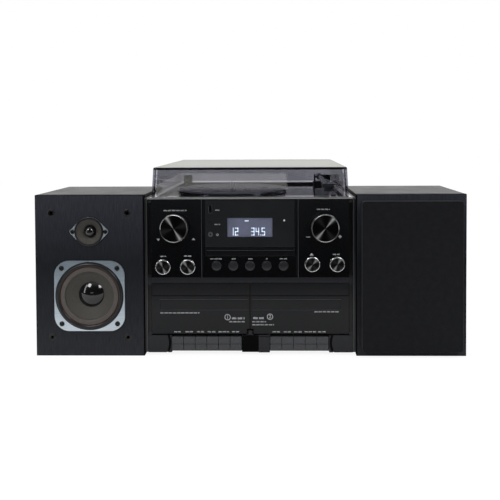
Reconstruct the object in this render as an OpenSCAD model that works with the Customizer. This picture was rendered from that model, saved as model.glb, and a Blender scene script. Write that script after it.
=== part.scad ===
// Stereo music centre: a record deck under a smoked cover, a radio and disc player,
// two cassette decks, and a pair of two-way box speakers.
// Millimetres. X to the right, Y to the back, Z up; the floor is Z = 0.

/* [Main unit] */
// Width of the main unit over its side panels
unit_w = 340; // [336:2:380]
// Depth of the main unit from front panel to rear cover
unit_d = 330; // [328:2:380]
// Height of the rubber feet
foot_h = 5; // [4:0.5:8]
// Radius of a rubber foot
foot_r = 11; // [8:1:14]
// Distance of a foot's centre from the unit's sides and ends
foot_inset = 30; // [26:1:45]
// Thickness of a side panel
cheek_t = 4.5; // [3:0.5:6]
// Corner radius of a side panel
cheek_round = 3; // [1:0.5:6]
// Thickness of the steel base plate and rear cover
plate_t = 2; // [1:0.5:3]
// Height of the zone that holds the cassette keys
key_zone_h = 28; // [27:0.5:34]
// Height of the zone that holds the cassette doors
deck_zone_h = 85.5; // [84:0.5:96]
// Height of the ledge between the doors and the glossy panel
ledge_h = 8.5; // [6:0.5:14]
// Thickness of the moulded front frame
frame_t = 3; // [2:0.5:4]

/* [Front panel] */
// Space beside the glossy front panel
panel_edge = 10.5; // [9:0.5:12]
// Height of the glossy front panel
panel_h = 127; // [126:1:140]
// Thickness of the glossy front panel
panel_t = 3; // [2.5:0.5:4]
// Half the width of the centre column between the divider grooves
column_x = 77; // [76:0.5:84]
// Width and depth of a divider groove
groove = 0.8; // [0.4:0.1:1.2]

/* [Display] */
// Width of the smoked window
window_w = 144; // [140:1:148]
// Height of the smoked window
window_h = 76; // [66:1:78]
// Height of the window's centre above the panel's lower edge
window_up = 87; // [86:0.5:88]
// Thickness of the smoked window
window_t = 1.5; // [1:0.25:2]
// Width of the display
lcd_w = 73; // [50:1:90]
// Height of the display
lcd_h = 31; // [20:1:40]
// Height of the display's centre above the panel's lower edge
lcd_up = 80.7; // [76:0.5:90]
// Distance of the socket column from the centre
socket_x = 63.5; // [56:0.5:65]
// Height of the memory socket's centre above the panel's lower edge
usb_up = 110.5; // [106:0.5:113]
// Height of the headphone socket above the panel's lower edge
jack_up = 69.7; // [62:0.5:80]
// Radius of the headphone socket's bore
jack_r = 1.8; // [1.7:0.05:3.3]
// Height of the dark sensor above the panel's lower edge
sensor_up = 88; // [84:0.5:94]

/* [Knobs] */
// Radius of a large knob
knob_r = 22.6; // [16:0.2:26]
// How far a large knob stands out from the panel
knob_out = 16; // [15:0.5:20]
// Distance of a large knob from the panel's end
knob_inset = 39; // [36:0.5:44]
// Height of the knobs above the panel's lower edge
knob_up = 81.2; // [78:0.2:88]
// Radius of a knob's shaft
knob_shaft_r = 3; // [2.5:0.5:4]

/* [Round buttons] */
// Outer radius of a button's bright ring
ring_r = 12.4; // [11.4:0.2:14]
// Radius of a round push button
button_r = 9.6; // [7:0.2:10]
// How far a button stands out from the panel
button_out = 3.5; // [2.5:0.5:5]
// Travel of a button
button_travel = 1.5; // [1:0.25:2]
// Distance between the two buttons of a pair
button_pitch = 40; // [36:0.5:44]
// Height of the left pair of buttons above the panel's lower edge
button_up = 17.2; // [16:0.2:20]
// How much higher the right pair stands
button_rise = 4; // [0:0.5:5]

/* [Disc player] */
// Width of the disc drawer's front strip
drawer_w = 142; // [138:1:146]
// Height of the disc drawer's front strip
drawer_h = 10.7; // [10.5:0.1:12]
// Height of the drawer's centre above the panel's lower edge
drawer_up = 40.8; // [40.6:0.1:42]
// Width of the tray behind the strip
tray_w = 132; // [128:1:134]
// Travel of the drawer
drawer_travel = 130; // [126:1:134]
// Length of the tray that stays on the rails when the drawer is out
tray_hold = 40; // [34:1:44]
// Radius of the recess for a disc
disc_r = 60.5; // [60.5:0.5:62]
// Number of disc buttons
disc_button_n = 5; // [5:1:5]
// Radius of a disc button
disc_button_r = 8; // [5:0.2:8.6]
// Distance between disc buttons
disc_button_pitch = 27; // [22:0.5:28]
// Height of the disc buttons above the panel's lower edge
disc_button_up = 18.8; // [14:0.2:20]
// How far a disc button stands out of its shallow recess
disc_button_out = 2.2; // [2:0.1:4]
// Travel of a disc button
disc_button_travel = 1; // [0.5:0.25:1.5]

/* [Cassette decks] */
// Thickness of a cassette door's panel
door_t = 5; // [4:0.5:6]
// Gap between the two doors
door_gap = 2; // [1.5:0.5:4]
// Radius of a door's rounded hinge edge
barrel_r = 4.5; // [4:0.25:5]
// Radius of a door's hinge pin
door_pin_r = 1.6; // [1.2:0.1:2]
// Height of the darker upper part of a door
door_upper_h = 21; // [16:1:24]
// Depth of that upper part behind the door's face
door_step = 2; // [1:0.5:2.5]
// Height of the window band in a door
door_window_h = 16; // [10:1:20]
// Width of a cassette
cassette_w = 100.4; // [98:0.2:102]
// Thickness of a cassette
cassette_t = 12; // [11:0.2:13]
// Depth of a cassette well behind the front
well_d = 25; // [24:1:32]

/* [Cassette keys] */
// Distance between keys
key_pitch = 18.85; // [17:0.05:19]
// Gap between keys
key_gap = 0.6; // [0.5:0.1:1]
// Height of a key's front face
key_h = 22.7; // [18:0.1:23]
// Height of the keys' lower edge above the feet's top
key_up = 2.7; // [2:0.1:3.5]
// Thickness of a key's walls
key_t = 4; // [3:0.5:4.5]
// Distance from the front to the shaft that the keys turn on
key_l = 45; // [40:1:60]
// Radius of the keys' shaft
key_shaft_r = 2; // [1.5:0.25:2]
// Half the width of the bare space between the two banks of keys
key_mid = 14; // [10:1:16]

/* [Record deck] */
// Depth of the deck's floor below its rim
deck_drop = 5; // [4:0.5:6]
// Thickness of the deck's floor
deck_floor_t = 3; // [2.5:0.5:4]
// Width of the deck's raised rim inside the side panels
deck_rim = 13; // [12:0.5:14]
// Space between the platter and the deck's rim
platter_side = 11.5; // [6:0.5:14]
// Distance of the spindle behind the front
spindle_y = 151; // [140:1:170]
// Radius of the platter
platter_r = 101; // [90:1:106]
// Height of the mat's top above the deck's floor
platter_h = 8; // [8:0.5:12]
// Thickness of the platter's rubber mat
mat_t = 1.5; // [1:0.5:2.5]
// Radius of the record spindle
spindle_r = 3.6; // [3.5:0.05:3.7]
// Height of the spindle above the mat
spindle_h = 11; // [8:0.5:14]
// Radius of the platter's belt hub
hub_r = 45; // [35:1:48]
// Distance of a finger hole from the spindle
finger_x = 60; // [57:1:76]
// Radius of a finger hole
finger_r = 8; // [6:0.5:9]

/* [Tonearm] */
// Distance of the arm's pivot from the cover's side
arm_inset = 32.5; // [31:0.5:36]
// Distance of the arm's pivot behind the front
arm_y = 235; // [228:1:246]
// Height of the arm's axis above the deck's floor
arm_up = 22; // [20:0.5:24]
// Length from the pivot to the stylus
arm_l = 204; // [196:1:210]
// Radius of the arm's tube
arm_r = 4; // [3:0.25:4.5]
// Radius of the arm's turning base
gimbal_r = 13; // [12:0.5:15]
// Radius of the vertical bearing's shaft
gimbal_shaft_r = 4; // [3:0.5:5]
// Distance of the arm's rest in front of the pivot
rest_y = 137; // [110:1:145]
// Distance of the lift lever's shaft in front of the pivot
lever_y = 19; // [18:1:30]
// Length of the lift lever
lever_l = 26; // [20:1:34]
// Travel of the speed switch
switch_travel = 10; // [6:1:14]

/* [Dust cover] */
// Distance of the dust cover from the unit's sides
cover_inset = 9.5; // [9:0.5:12]
// Depth of the dust cover
cover_d = 311; // [306:1:312]
// Height of the dust cover
cover_h = 48; // [44:1:70]
// Wall of the dust cover
cover_t = 3; // [2:0.5:3.5]
// Distance of the cover behind the front
cover_back = 6; // [5:0.5:7]
// Lean of the cover's walls over their height
cover_lean = 2.5; // [0:0.5:3]
// Distance of a hinge from the cover's side
hinge_inset = 12.5; // [9.5:0.5:38]
// Width of a hinge bracket
hinge_w = 18; // [16:1:20]
// Radius of the hinge pins
hinge_pin_r = 2; // [1.5:0.25:2.5]

/* [Speakers] */
// Width of a speaker
speaker_w = 176; // [170:2:200]
// Height of a speaker
speaker_h = 261; // [256:1:300]
// Depth of a speaker
speaker_d = 160; // [140:2:220]
// Gap between a speaker and the main unit
speaker_gap = 1; // [1:0.5:20]
// How far a speaker's face stands in front of the main unit
speaker_lead = 2; // [0:0.5:3]
// Thickness of the cabinet's boards
board_t = 10; // [8:0.5:15]
// Thickness of the front baffle
baffle_t = 12; // [10:0.5:15]
// Chamfer round the baffle's front
baffle_bevel = 1.2; // [0.4:0.2:2]
// Height of the woofer's centre
woofer_z = 98; // [92:0.5:104]
// Width and height of the woofer's square frame
woofer_w = 114; // [110:1:120]
// Corner radius of the woofer's frame
woofer_round = 24; // [18:1:34]
// Thickness of the woofer's frame
woofer_t = 2; // [1:0.5:3]
// Radius of the woofer's surround
surround_r = 54; // [50:0.5:54.5]
// Radius of the woofer's cone
cone_r = 41.5; // [36:0.5:44]
// Radius of the woofer's dust cap
cap_r = 21; // [14:0.5:24]
// Depth of the cap's rim behind the baffle's face
cap_deep = 11; // [8:0.5:20]
// Height of the dust cap
cap_rise = 11; // [8:0.5:13]
// Height of the tweeter's centre
tweeter_z = 202; // [194:0.5:208]
// Radius of the tweeter's flange
tweeter_r = 23.3; // [20:0.5:26]
// Length of the tweeter's flange over its ears
tweeter_w = 62; // [58:1:68]
// Radius of the tweeter's dome
dome_r = 9.5; // [7:0.5:12]

/* [Grille] */
// Width of the grille
grille_w = 160; // [156:1:168]
// Height of the grille
grille_h = 241; // [236:1:250]
// Thickness of the grille's frame
grille_t = 11; // [10:0.5:12]
// Width of the grille frame's bars
grille_bar = 12; // [10:0.5:14]
// Thickness of the grille's cloth
cloth_t = 0.8; // [0.6:0.1:1]
// Distance of the grille's pegs from the speaker's centre line
peg_x = 61.5; // [60:0.5:66]
// Height of the lower pegs
peg_low = 30.5; // [22:0.5:32]
// Height of the upper pegs
peg_high = 232; // [228:0.5:238]
// Radius of a peg
peg_r = 2.5; // [2:0.1:3]
// Length of a peg
peg_l = 8; // [6:0.5:9]

/* [Fits] */
// Radial clearance of a shaft in its bearing
shaft_fit = 0.05; // [0.02:0.01:0.1]
// Clearance beside a part that slides or seats
seat_fit = 0.3; // [0.2:0.05:0.5]

/* [Hidden] */
$fn = 48;

// Main unit: levels from the floor up, and places from the front back
deck_z = foot_h + key_zone_h;
ledge_z = deck_z + deck_zone_h;
panel_z = ledge_z + ledge_h;
plinth_lip = 2;
unit_h = panel_z + panel_h + plinth_lip;
floor_z = unit_h - deck_drop;
plinth_z = floor_z - deck_floor_t;
plate_top = foot_h + plate_t;
screw_head = 1.6;
head_gap = 0.05;
rear_out = screw_head + head_gap;
front_y = -(unit_d + rear_out - knob_out) / 2;
rear_y = front_y + unit_d;
panel_back_y = front_y + panel_t;
frame_back_y = panel_back_y + frame_t;
inner_x = unit_w / 2 - cheek_t;
panel_w = unit_w - 2 * panel_edge;
cover_w = unit_w - 2 * cover_inset;
base_front_y = front_y + 8;

// Front board behind the frame, and what stands on it
board_gap = 7;
board_y = frame_back_y + board_gap;
pcb_t = 1.6;
window_back_y = front_y + 0.3 + window_t;
window_ledge = 3;
window_z = panel_z + window_up;
drawer_z = panel_z + drawer_up;
knob_x = panel_w / 2 - knob_inset;
knob_z = panel_z + knob_up;
function button_z(sx) = panel_z + button_up + (sx > 0 ? button_rise : 0);
ring_in_r = button_r + 0.4;
ring_out = 2;
disc_recess = 1.2;
disc_recess_w = 2 * column_x - 4;
disc_recess_h = 34.4;
usb_in_w = 5.2;
usb_in_h = 12.5;
usb_wall = 0.4;
usb_w = usb_in_w + 2 * usb_wall;
usb_h = usb_in_h + 2 * usb_wall;
usb_d = 12;
jack_outer_r = jack_r + 2;
jack_d = 14;

// Drawer
tray_t = 8;
tray_low_z = drawer_z - tray_t / 2;
drawer_front_t = 5;
tray_y = front_y + drawer_front_t;
tray_l = drawer_travel + tray_hold;
disc_y = tray_y + disc_r + 11.5;
mech_plate_t = 2;
mech_z = panel_z + 19;
mech_front_y = board_y + pcb_t + 14;
rail_top_z = tray_low_z + tray_t + 1;

// Cassette doors
pivot_y = front_y + barrel_r;
pivot_z = deck_z + 0.5 + barrel_r;
door_in_x = door_gap / 2;
door_out_x = panel_w / 2 - 0.25;
door_mid_x = (door_in_x + door_out_x) / 2;
door_top_z = ledge_z - 0.5;
ear_x = 5;
ear_top_z = pivot_z + door_pin_r + 1.6;
panel_low_z = pivot_z + barrel_r + 0.8;
well_back_y = front_y + well_d;
well_wall = 2;
strip_y = front_y + 1.5;
pocket_floor_z = pivot_z + barrel_r + 4;
pocket_h = 52;
pocket_wall = 2;
pocket_back_y = front_y + door_t + cassette_t + 1 + pocket_wall;

// Keys
key_n_left = 6;
key_n_right = 5;
key_z = foot_h + key_up;
key_pivot_y = front_y + key_l;
key_pivot_z = key_z + key_h - key_t;
key_left_x = -key_mid - key_n_left * key_pitch;
key_filler_w = 18;
key_right_x = key_mid + key_filler_w;
key_right_end = key_right_x + key_n_right * key_pitch;
key_shelf_z = deck_z - 1;
chassis_y = well_back_y + well_wall;

// Record deck
spindle_x = inner_x - deck_rim - platter_r - platter_side;
hub_top_z = floor_z + 1;
tub_r = hub_r + 32;
tub_deep = 9;
tub_z = floor_z - tub_deep;
plat_y = front_y + spindle_y;
mat_z = floor_z + platter_h;
pulley_r = 6;
pulley_x = -spindle_x + hub_r + 16;
bearing_r = 5;
bearing_z = tub_z - 15;
deck_front_y = front_y + cover_back + cover_t + 3;
deck_back_y = rear_y - 22;

// Tonearm
arm_x = cover_w / 2 - arm_inset;
arm_piv_y = front_y + arm_y;
arm_z = floor_z + arm_up;
yoke_half = 8;
yoke_t = 3;
stub_l = 18;
lever_x = arm_x + gimbal_r + 1;
lever_shaft_y = arm_piv_y - lever_y;
lever_z = floor_z + 9;
switch_x = arm_x + 12;
switch_y = front_y + 62;

// Dust cover and its hinges
cover_front_y = front_y + cover_back;
cover_rear_y = cover_front_y + cover_d;
cover_z = unit_h + seat_fit;
cover_round = 7;
hinge_x = cover_w / 2 - hinge_inset;
hinge_y = cover_rear_y + 6.5;
hinge_z = unit_h + 10;
lug_w = 8;
lug_r = 5;

// Speakers
speaker_x = unit_w / 2 + speaker_gap + speaker_w / 2;
baffle_y = front_y - speaker_lead;
cabinet_y = baffle_y + baffle_t;
cabinet_back_y = baffle_y + speaker_d;
woofer_hole_r = surround_r - 4;
screw_r = 2.6;
screw_l = 7;
pilot_r = screw_r * 0.5 + 0.02;
tweeter_t = 1.5;
ear_r = 4.5;
surround_seat = 1.2;
basket_deep = 55;
magnet_r = 38;
magnet_y = basket_deep - 18;
woofer_screw = woofer_w / 2 - 12;
tweeter_screw = tweeter_w / 2 - 5;
socket_r = peg_r + 2;
socket_l = peg_l + 2;
terminal_z = 70;

// ---- Shared shapes ----

// A box from its low corner to its high corner
module box(x, y, z) {
    translate([x[0], y[0], z[0]]) cube([x[1] - x[0], y[1] - y[0], z[1] - z[0]]);
}

// A round bar along Y that starts at a point
module bar_y(r, l, at) {
    translate(at) rotate([-90, 0, 0]) cylinder(r = r, h = l);
}

// A round bar along X that starts at a point
module bar_x(r, l, at) {
    translate(at) rotate([0, 90, 0]) cylinder(r = r, h = l);
}

// An upright bar that starts at a point
module bar_z(r, l, at) {
    translate(at) cylinder(r = r, h = l);
}

// A solid of revolution about an axis along Y; its profile is radius and depth
module turn_y(at) {
    translate(at) rotate([-90, 0, 0]) rotate_extrude() children();
}

// A rectangle with round corners about its own centre
module round_rect(w, h, r) {
    square([w - 2 * r, h], center = true);
    square([w, h - 2 * r], center = true);
    for (sx = [-1, 1], sz = [-1, 1])
        translate([sx * (w / 2 - r), sz * (h / 2 - r)]) circle(r = r);
}

// A plate in the XZ plane, drawn about its centre and extruded towards the back
module plate_y(t, at) {
    translate(at) rotate([-90, 0, 0]) linear_extrude(t) mirror([0, 1]) children();
}

// A section in the YZ plane, extruded along X
module along_x(x0, l) {
    translate([x0, 0, 0]) rotate([90, 0, 90]) linear_extrude(l) children();
}

// ---- Speakers ----

module cabinet(cx) {
    color("#17181b") difference() {
        box([cx - speaker_w / 2, cx + speaker_w / 2], [cabinet_y, cabinet_back_y], [0, speaker_h]);
        box([cx - speaker_w / 2 + board_t, cx + speaker_w / 2 - board_t],
            [cabinet_y - 1, cabinet_back_y - board_t], [board_t, speaker_h - board_t]);
        // cut for the terminal cup
        box([cx - 26, cx + 26], [cabinet_back_y - board_t - 1, cabinet_back_y + 1],
            [terminal_z - 21, terminal_z + 21]);
    }
}

module baffle(cx) {
    color("#2b2d33") difference() {
        union() {
            box([cx - speaker_w / 2, cx + speaker_w / 2],
                [baffle_y + baffle_bevel, cabinet_y], [0, speaker_h]);
            hull() {
                box([cx - speaker_w / 2, cx + speaker_w / 2],
                    [baffle_y + baffle_bevel, baffle_y + baffle_bevel + 0.1], [0, speaker_h]);
                box([cx - speaker_w / 2 + baffle_bevel, cx + speaker_w / 2 - baffle_bevel],
                    [baffle_y, baffle_y + 0.1], [baffle_bevel, speaker_h - baffle_bevel]);
            }
        }
        bar_y(woofer_hole_r, baffle_t + 2, [cx, baffle_y - 1, woofer_z]);
        bar_y(tweeter_r - 3, baffle_t + 2, [cx, baffle_y - 1, tweeter_z]);
        for (sx = [-1, 1], z = [peg_low, peg_high])
            bar_y(socket_r, socket_l, [cx + sx * peg_x, baffle_y - 0.5, z]);
        // pilot holes of the drivers' screws
        for (sx = [-1, 1], sz = [-1, 1])
            bar_y(pilot_r, screw_l + 1,
                  [cx + sx * woofer_screw, baffle_y - 1, woofer_z + sz * woofer_screw]);
        for (sx = [-1, 1])
            bar_y(pilot_r, screw_l + 1, [cx + sx * tweeter_screw, baffle_y - 1, tweeter_z]);
    }
}

// Square steel frame, basket and magnet in one
module woofer_frame(cx) {
    color("#9aa3ad") difference() {
        union() {
            plate_y(woofer_t, [cx, baffle_y - woofer_t, woofer_z])
                round_rect(woofer_w, woofer_w, woofer_round);
            turn_y([cx, baffle_y, woofer_z]) polygon([
                [0, magnet_y - 3], [20, magnet_y - 3], [woofer_hole_r - 2, 0], [woofer_hole_r - 0.5, 0],
                [woofer_hole_r - 0.5, 4], [24, magnet_y], [magnet_r, magnet_y],
                [magnet_r, basket_deep], [0, basket_deep]]);
        }
        bar_y(surround_r, surround_seat + 1, [cx, baffle_y - woofer_t - 1, woofer_z]);
        bar_y(woofer_hole_r - 2, woofer_t + 1, [cx, baffle_y - woofer_t - 0.5, woofer_z]);
        for (sx = [-1, 1], sz = [-1, 1])
            bar_y(screw_r - 0.6, woofer_t + 1,
                  [cx + sx * woofer_screw, baffle_y - woofer_t - 0.5, woofer_z + sz * woofer_screw]);
    }
}

// Rubber roll, paper cone and dust cap as one moving shell
module woofer_cone(cx) {
    seat = surround_seat - woofer_t - head_gap;
    rim_r = surround_r - seat_fit;
    roll = (rim_r - 2 - cone_r) / 2;
    cap_ball = (cap_r * cap_r / cap_rise + cap_rise) / 2;
    color("#26282c") turn_y([cx, baffle_y, woofer_z]) difference() {
        union() {
            translate([cone_r - 1, seat - 1]) square([rim_r - cone_r + 1, 1]);
            translate([cone_r + roll, seat]) circle(r = roll);
            polygon([
                [cap_r - 3, cap_deep + 1], [cone_r - 1, seat - 1], [cone_r, seat],
                [cap_r - 2, cap_deep + 3], [0, cap_deep + 3], [0, cap_deep + 1]]);
            intersection() {
                translate([0, cap_deep - cap_rise + cap_ball]) circle(r = cap_ball);
                translate([0, cap_deep - cap_rise - 1]) square([cap_r, cap_rise + 2.5]);
            }
        }
        translate([cone_r + roll, seat]) circle(r = roll - 1);
        translate([cone_r, seat]) square([surround_r, surround_r]);
        translate([-surround_r, -surround_r]) square([surround_r, 3 * surround_r]);
    }
}

module tweeter(cx) {
    color("#a9adb3") union() {
        difference() {
            union() {
                // flange that narrows to an ear at each side
                plate_y(tweeter_t, [cx, baffle_y - tweeter_t, tweeter_z]) hull() {
                    circle(r = tweeter_r);
                    for (sx = [-1, 1])
                        translate([sx * (tweeter_w / 2 - ear_r), 0]) circle(r = ear_r);
                }
                turn_y([cx, baffle_y, tweeter_z]) polygon([
                    [0, 12], [tweeter_r - 5, 0], [tweeter_r - 3.5, 0], [tweeter_r - 3.5, 12],
                    [16, 14], [16, 26], [0, 26]]);
            }
            turn_y([cx, baffle_y, tweeter_z]) polygon([
                [0, 5], [dome_r + 1.5, 5], [tweeter_r - 5, -0.8], [tweeter_r - 5, -2], [0, -2]]);
            for (sx = [-1, 1])
                bar_y(screw_r - 0.8, 3, [cx + sx * tweeter_screw, baffle_y - 2, tweeter_z]);
        }
        // dome on its seat
        intersection() {
            translate([cx, baffle_y + 6, tweeter_z]) sphere(r = dome_r);
            bar_y(dome_r, 10, [cx, baffle_y - 4, tweeter_z]);
        }
    }
}

// A pan-head screw whose head lies on a face at y
module screw_y(x, y, z, r) {
    difference() {
        union() {
            turn_y([x, y, z]) polygon([[0, -screw_head], [r * 0.6, -screw_head], [r, -0.6], [r, 0], [0, 0]]);
            bar_y(r * 0.5, screw_l, [x, y, z]);
        }
        box([x - r * 0.6, x + r * 0.6], [y - 2, y - 0.9], [z - 0.3, z + 0.3]);
        box([x - 0.3, x + 0.3], [y - 2, y - 0.9], [z - r * 0.6, z + r * 0.6]);
    }
}

// Screws of both drivers, grille sockets and the terminal cup
module speaker_fittings(cx) {
    color("#1d1e21") {
        for (sx = [-1, 1], sz = [-1, 1])
            screw_y(cx + sx * woofer_screw, baffle_y - woofer_t - head_gap,
                    woofer_z + sz * woofer_screw, screw_r);
        for (sx = [-1, 1])
            screw_y(cx + sx * tweeter_screw, baffle_y - tweeter_t - head_gap, tweeter_z, screw_r);
        for (sx = [-1, 1], z = [peg_low, peg_high])
            difference() {
                bar_y(socket_r - 0.02, socket_l - 0.5, [cx + sx * peg_x, baffle_y, z]);
                bar_y(peg_r + shaft_fit, peg_l + 1, [cx + sx * peg_x, baffle_y - 0.5, z]);
            }
        terminal_cup(cx);
    }
}

// Recessed cup with two spring clips on the cabinet's back
module terminal_cup(cx) {
    difference() {
        union() {
            box([cx - 30, cx + 30], [cabinet_back_y, cabinet_back_y + 2], [terminal_z - 25, terminal_z + 25]);
            box([cx - 25.7, cx + 25.7], [cabinet_back_y - board_t - 4, cabinet_back_y + 1],
                [terminal_z - 20.7, terminal_z + 20.7]);
        }
        box([cx - 23, cx + 23], [cabinet_back_y - board_t - 1, cabinet_back_y + 3],
            [terminal_z - 18, terminal_z + 18]);
    }
    for (sx = [-1, 1])
        difference() {
            box([cx + sx * 11 - 6, cx + sx * 11 + 6], [cabinet_back_y - board_t - 2, cabinet_back_y - 1],
                [terminal_z - 11, terminal_z + 11]);
            bar_y(1.6, 12, [cx + sx * 11, cabinet_back_y - 8, terminal_z - 7]);
        }
}

module left_cabinet() { cabinet(-speaker_x); }
module left_baffle() { baffle(-speaker_x); }
module left_woofer_frame() { woofer_frame(-speaker_x); }
module left_woofer_cone() { woofer_cone(-speaker_x); }
module left_tweeter() { tweeter(-speaker_x); }
module left_fittings() { speaker_fittings(-speaker_x); }
module right_cabinet() { cabinet(speaker_x); }
module right_baffle() { baffle(speaker_x); }
module right_woofer() {
    woofer_frame(speaker_x);
    woofer_cone(speaker_x);
}
module right_tweeter() { tweeter(speaker_x); }
module right_fittings() { speaker_fittings(speaker_x); }

// Grille of the right speaker: a moulded frame with pegs, and cloth over it
module grille_frame() {
    grille_mid = speaker_h / 2;
    color("#101113") {
        difference() {
            plate_y(grille_t - seat_fit, [speaker_x, baffle_y - grille_t, grille_mid])
                round_rect(grille_w - 2 * cloth_t, grille_h - 2 * cloth_t, 4);
            plate_y(grille_t + 2, [speaker_x, baffle_y - grille_t - 1, grille_mid])
                round_rect(grille_w - 2 * grille_bar, grille_h - 2 * grille_bar, 4);
        }
        // cross bar between the drivers, thinner than the frame
        box([speaker_x - grille_w / 2 + grille_bar - 1, speaker_x + grille_w / 2 - grille_bar + 1],
            [baffle_y - grille_t + 1, baffle_y - grille_t + 5],
            [(woofer_z + tweeter_z) / 2 + 9, (woofer_z + tweeter_z) / 2 + 17]);
        for (sx = [-1, 1], z = [peg_low, peg_high]) {
            bar_y(peg_r, peg_l + 1, [speaker_x + sx * peg_x, baffle_y - 1, z]);
            // boss that carries the peg
            box([speaker_x + sx * (peg_x + 2) - 6.5, speaker_x + sx * (peg_x + 2) + 6.5],
                [baffle_y - 6, baffle_y - seat_fit], [z - 5, z + 5]);
        }
    }
}

module grille_cloth() {
    grille_mid = speaker_h / 2;
    color("#0d0e10") difference() {
        plate_y(grille_t + cloth_t - 1, [speaker_x, baffle_y - grille_t - cloth_t, grille_mid])
            round_rect(grille_w, grille_h, 4 + cloth_t);
        plate_y(grille_t + 2, [speaker_x, baffle_y - grille_t, grille_mid])
            round_rect(grille_w - 2 * cloth_t, grille_h - 2 * cloth_t, 4);
    }
}

// ---- Casing of the main unit ----

module side_panels() {
    color("#1c1d1f") for (side = [0, 1])
        mirror([side, 0, 0]) along_x(inner_x, cheek_t)
            translate([(front_y + rear_y) / 2, (foot_h + unit_h) / 2])
                round_rect(unit_d, unit_h - foot_h, cheek_round);
}

module base_plate() {
    color("#6f7276") difference() {
        box([-inner_x, inner_x], [base_front_y, rear_y], [foot_h, plate_top]);
        for (i = [-4:4])
            box([i * 14 - 2, i * 14 + 2], [rear_y - 113, rear_y - 63], [foot_h - 1, plate_top + 1]);
    }
}

module feet() {
    color("#141414") for (sx = [-1, 1], y = [front_y + foot_inset, rear_y - foot_inset])
        translate([sx * (unit_w / 2 - foot_inset), y, 0]) difference() {
            cylinder(r1 = foot_r - 1, r2 = foot_r, h = foot_h);
            translate([0, 0, -1]) cylinder(r = 3, h = foot_h - 1);
        }
}

rear_screw_x = inner_x - 8;
rear_screw_r = 2.8;
socket_panel_z = plate_top + 52;
inlet_x = inner_x - 47.5;
inlet_z = plate_top + 26;
speaker_block_x = -inner_x + 69.5;

module rear_cover() {
    color("#17181a") difference() {
        box([-inner_x, inner_x], [rear_y - plate_t, rear_y], [plate_top, plinth_z]);
        // openings for the sockets
        box([speaker_block_x - 34, speaker_block_x + 34], [rear_y - plate_t - 1, rear_y + 1],
            [socket_panel_z - 14, socket_panel_z + 14]);
        box([inlet_x - 13, inlet_x + 13], [rear_y - plate_t - 1, rear_y + 1], [inlet_z - 9, inlet_z + 9]);
        box([-36, 36], [rear_y - plate_t - 1, rear_y + 1], [socket_panel_z - 12, socket_panel_z + 12]);
        // cooling slots
        for (i = [0:11])
            box([20 + i * 9, 24 + i * 9], [rear_y - plate_t - 1, rear_y + 1], [panel_z, panel_z + 46]);
        for (sx = [-1, 1], z = [plate_top + 10, plinth_z - 10])
            bar_y(rear_screw_r * 0.5 + seat_fit, plate_t + 2, [sx * rear_screw_x, rear_y - plate_t - 1, z]);
    }
}

// Speaker clips, line and aerial sockets, mains inlet and the rear cover's screws
module rear_fittings() {
    color("#0f0f10") {
        // block of four spring clips
        difference() {
            box([speaker_block_x - 33.7, speaker_block_x + 33.7], [rear_y - 16, rear_y],
                [socket_panel_z - 13.7, socket_panel_z + 13.7]);
            for (i = [-1.5:1.5])
                bar_y(1.8, 12, [speaker_block_x + i * 16, rear_y - 11, socket_panel_z - 6]);
            for (i = [-1.5:1.5])
                box([speaker_block_x + i * 16 - 5, speaker_block_x + i * 16 + 5], [rear_y - 3, rear_y + 1],
                    [socket_panel_z, socket_panel_z + 10]);
        }
        // phono sockets and the aerial socket on one panel
        difference() {
            union() {
                box([-35.7, 35.7], [rear_y - 4, rear_y - 1], [socket_panel_z - 11.7, socket_panel_z + 11.7]);
                for (x = [-24, -4])
                    bar_y(4.2, 8, [x, rear_y - 8, socket_panel_z]);
                bar_y(4.8, 8, [22, rear_y - 8, socket_panel_z]);
            }
            for (x = [-24, -4, 22])
                bar_y(1.6, 8, [x, rear_y - 7, socket_panel_z]);
        }
        // figure-of-eight mains inlet
        difference() {
            box([inlet_x - 12.7, inlet_x + 12.7], [rear_y - 18, rear_y], [inlet_z - 8.7, inlet_z + 8.7]);
            for (sx = [-1, 1])
                bar_y(4.6, 15, [inlet_x + sx * 4.3, rear_y - 14, inlet_z]);
            box([inlet_x - 4.3, inlet_x + 4.3], [rear_y - 14, rear_y + 1], [inlet_z - 4.6, inlet_z + 4.6]);
        }
        for (sx = [-1, 1])
            bar_y(1.2, 12, [inlet_x + sx * 4.3, rear_y - 15, inlet_z]);
        for (sx = [-1, 1], z = [plate_top + 10, plinth_z - 10])
            mirror([0, 1, 0]) screw_y(sx * rear_screw_x, -rear_y - head_gap, z, rear_screw_r);
    }
}

// ---- Front ----

// One cassette well with the clearance for its door's hinge edge
module well_cut(side) {
    mirror([side, 0, 0]) {
        box([3, panel_w / 2], [front_y - 1, well_back_y], [deck_z + 2, door_top_z - 0.6]);
        box([-0.1, panel_w / 2], [front_y - 1, front_y + door_t + 0.5], [ear_top_z, ledge_z]);
        box([ear_x, panel_w / 2], [front_y - 1, pivot_y + barrel_r + 0.8], [deck_z, ledge_z]);
    }
}

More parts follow.
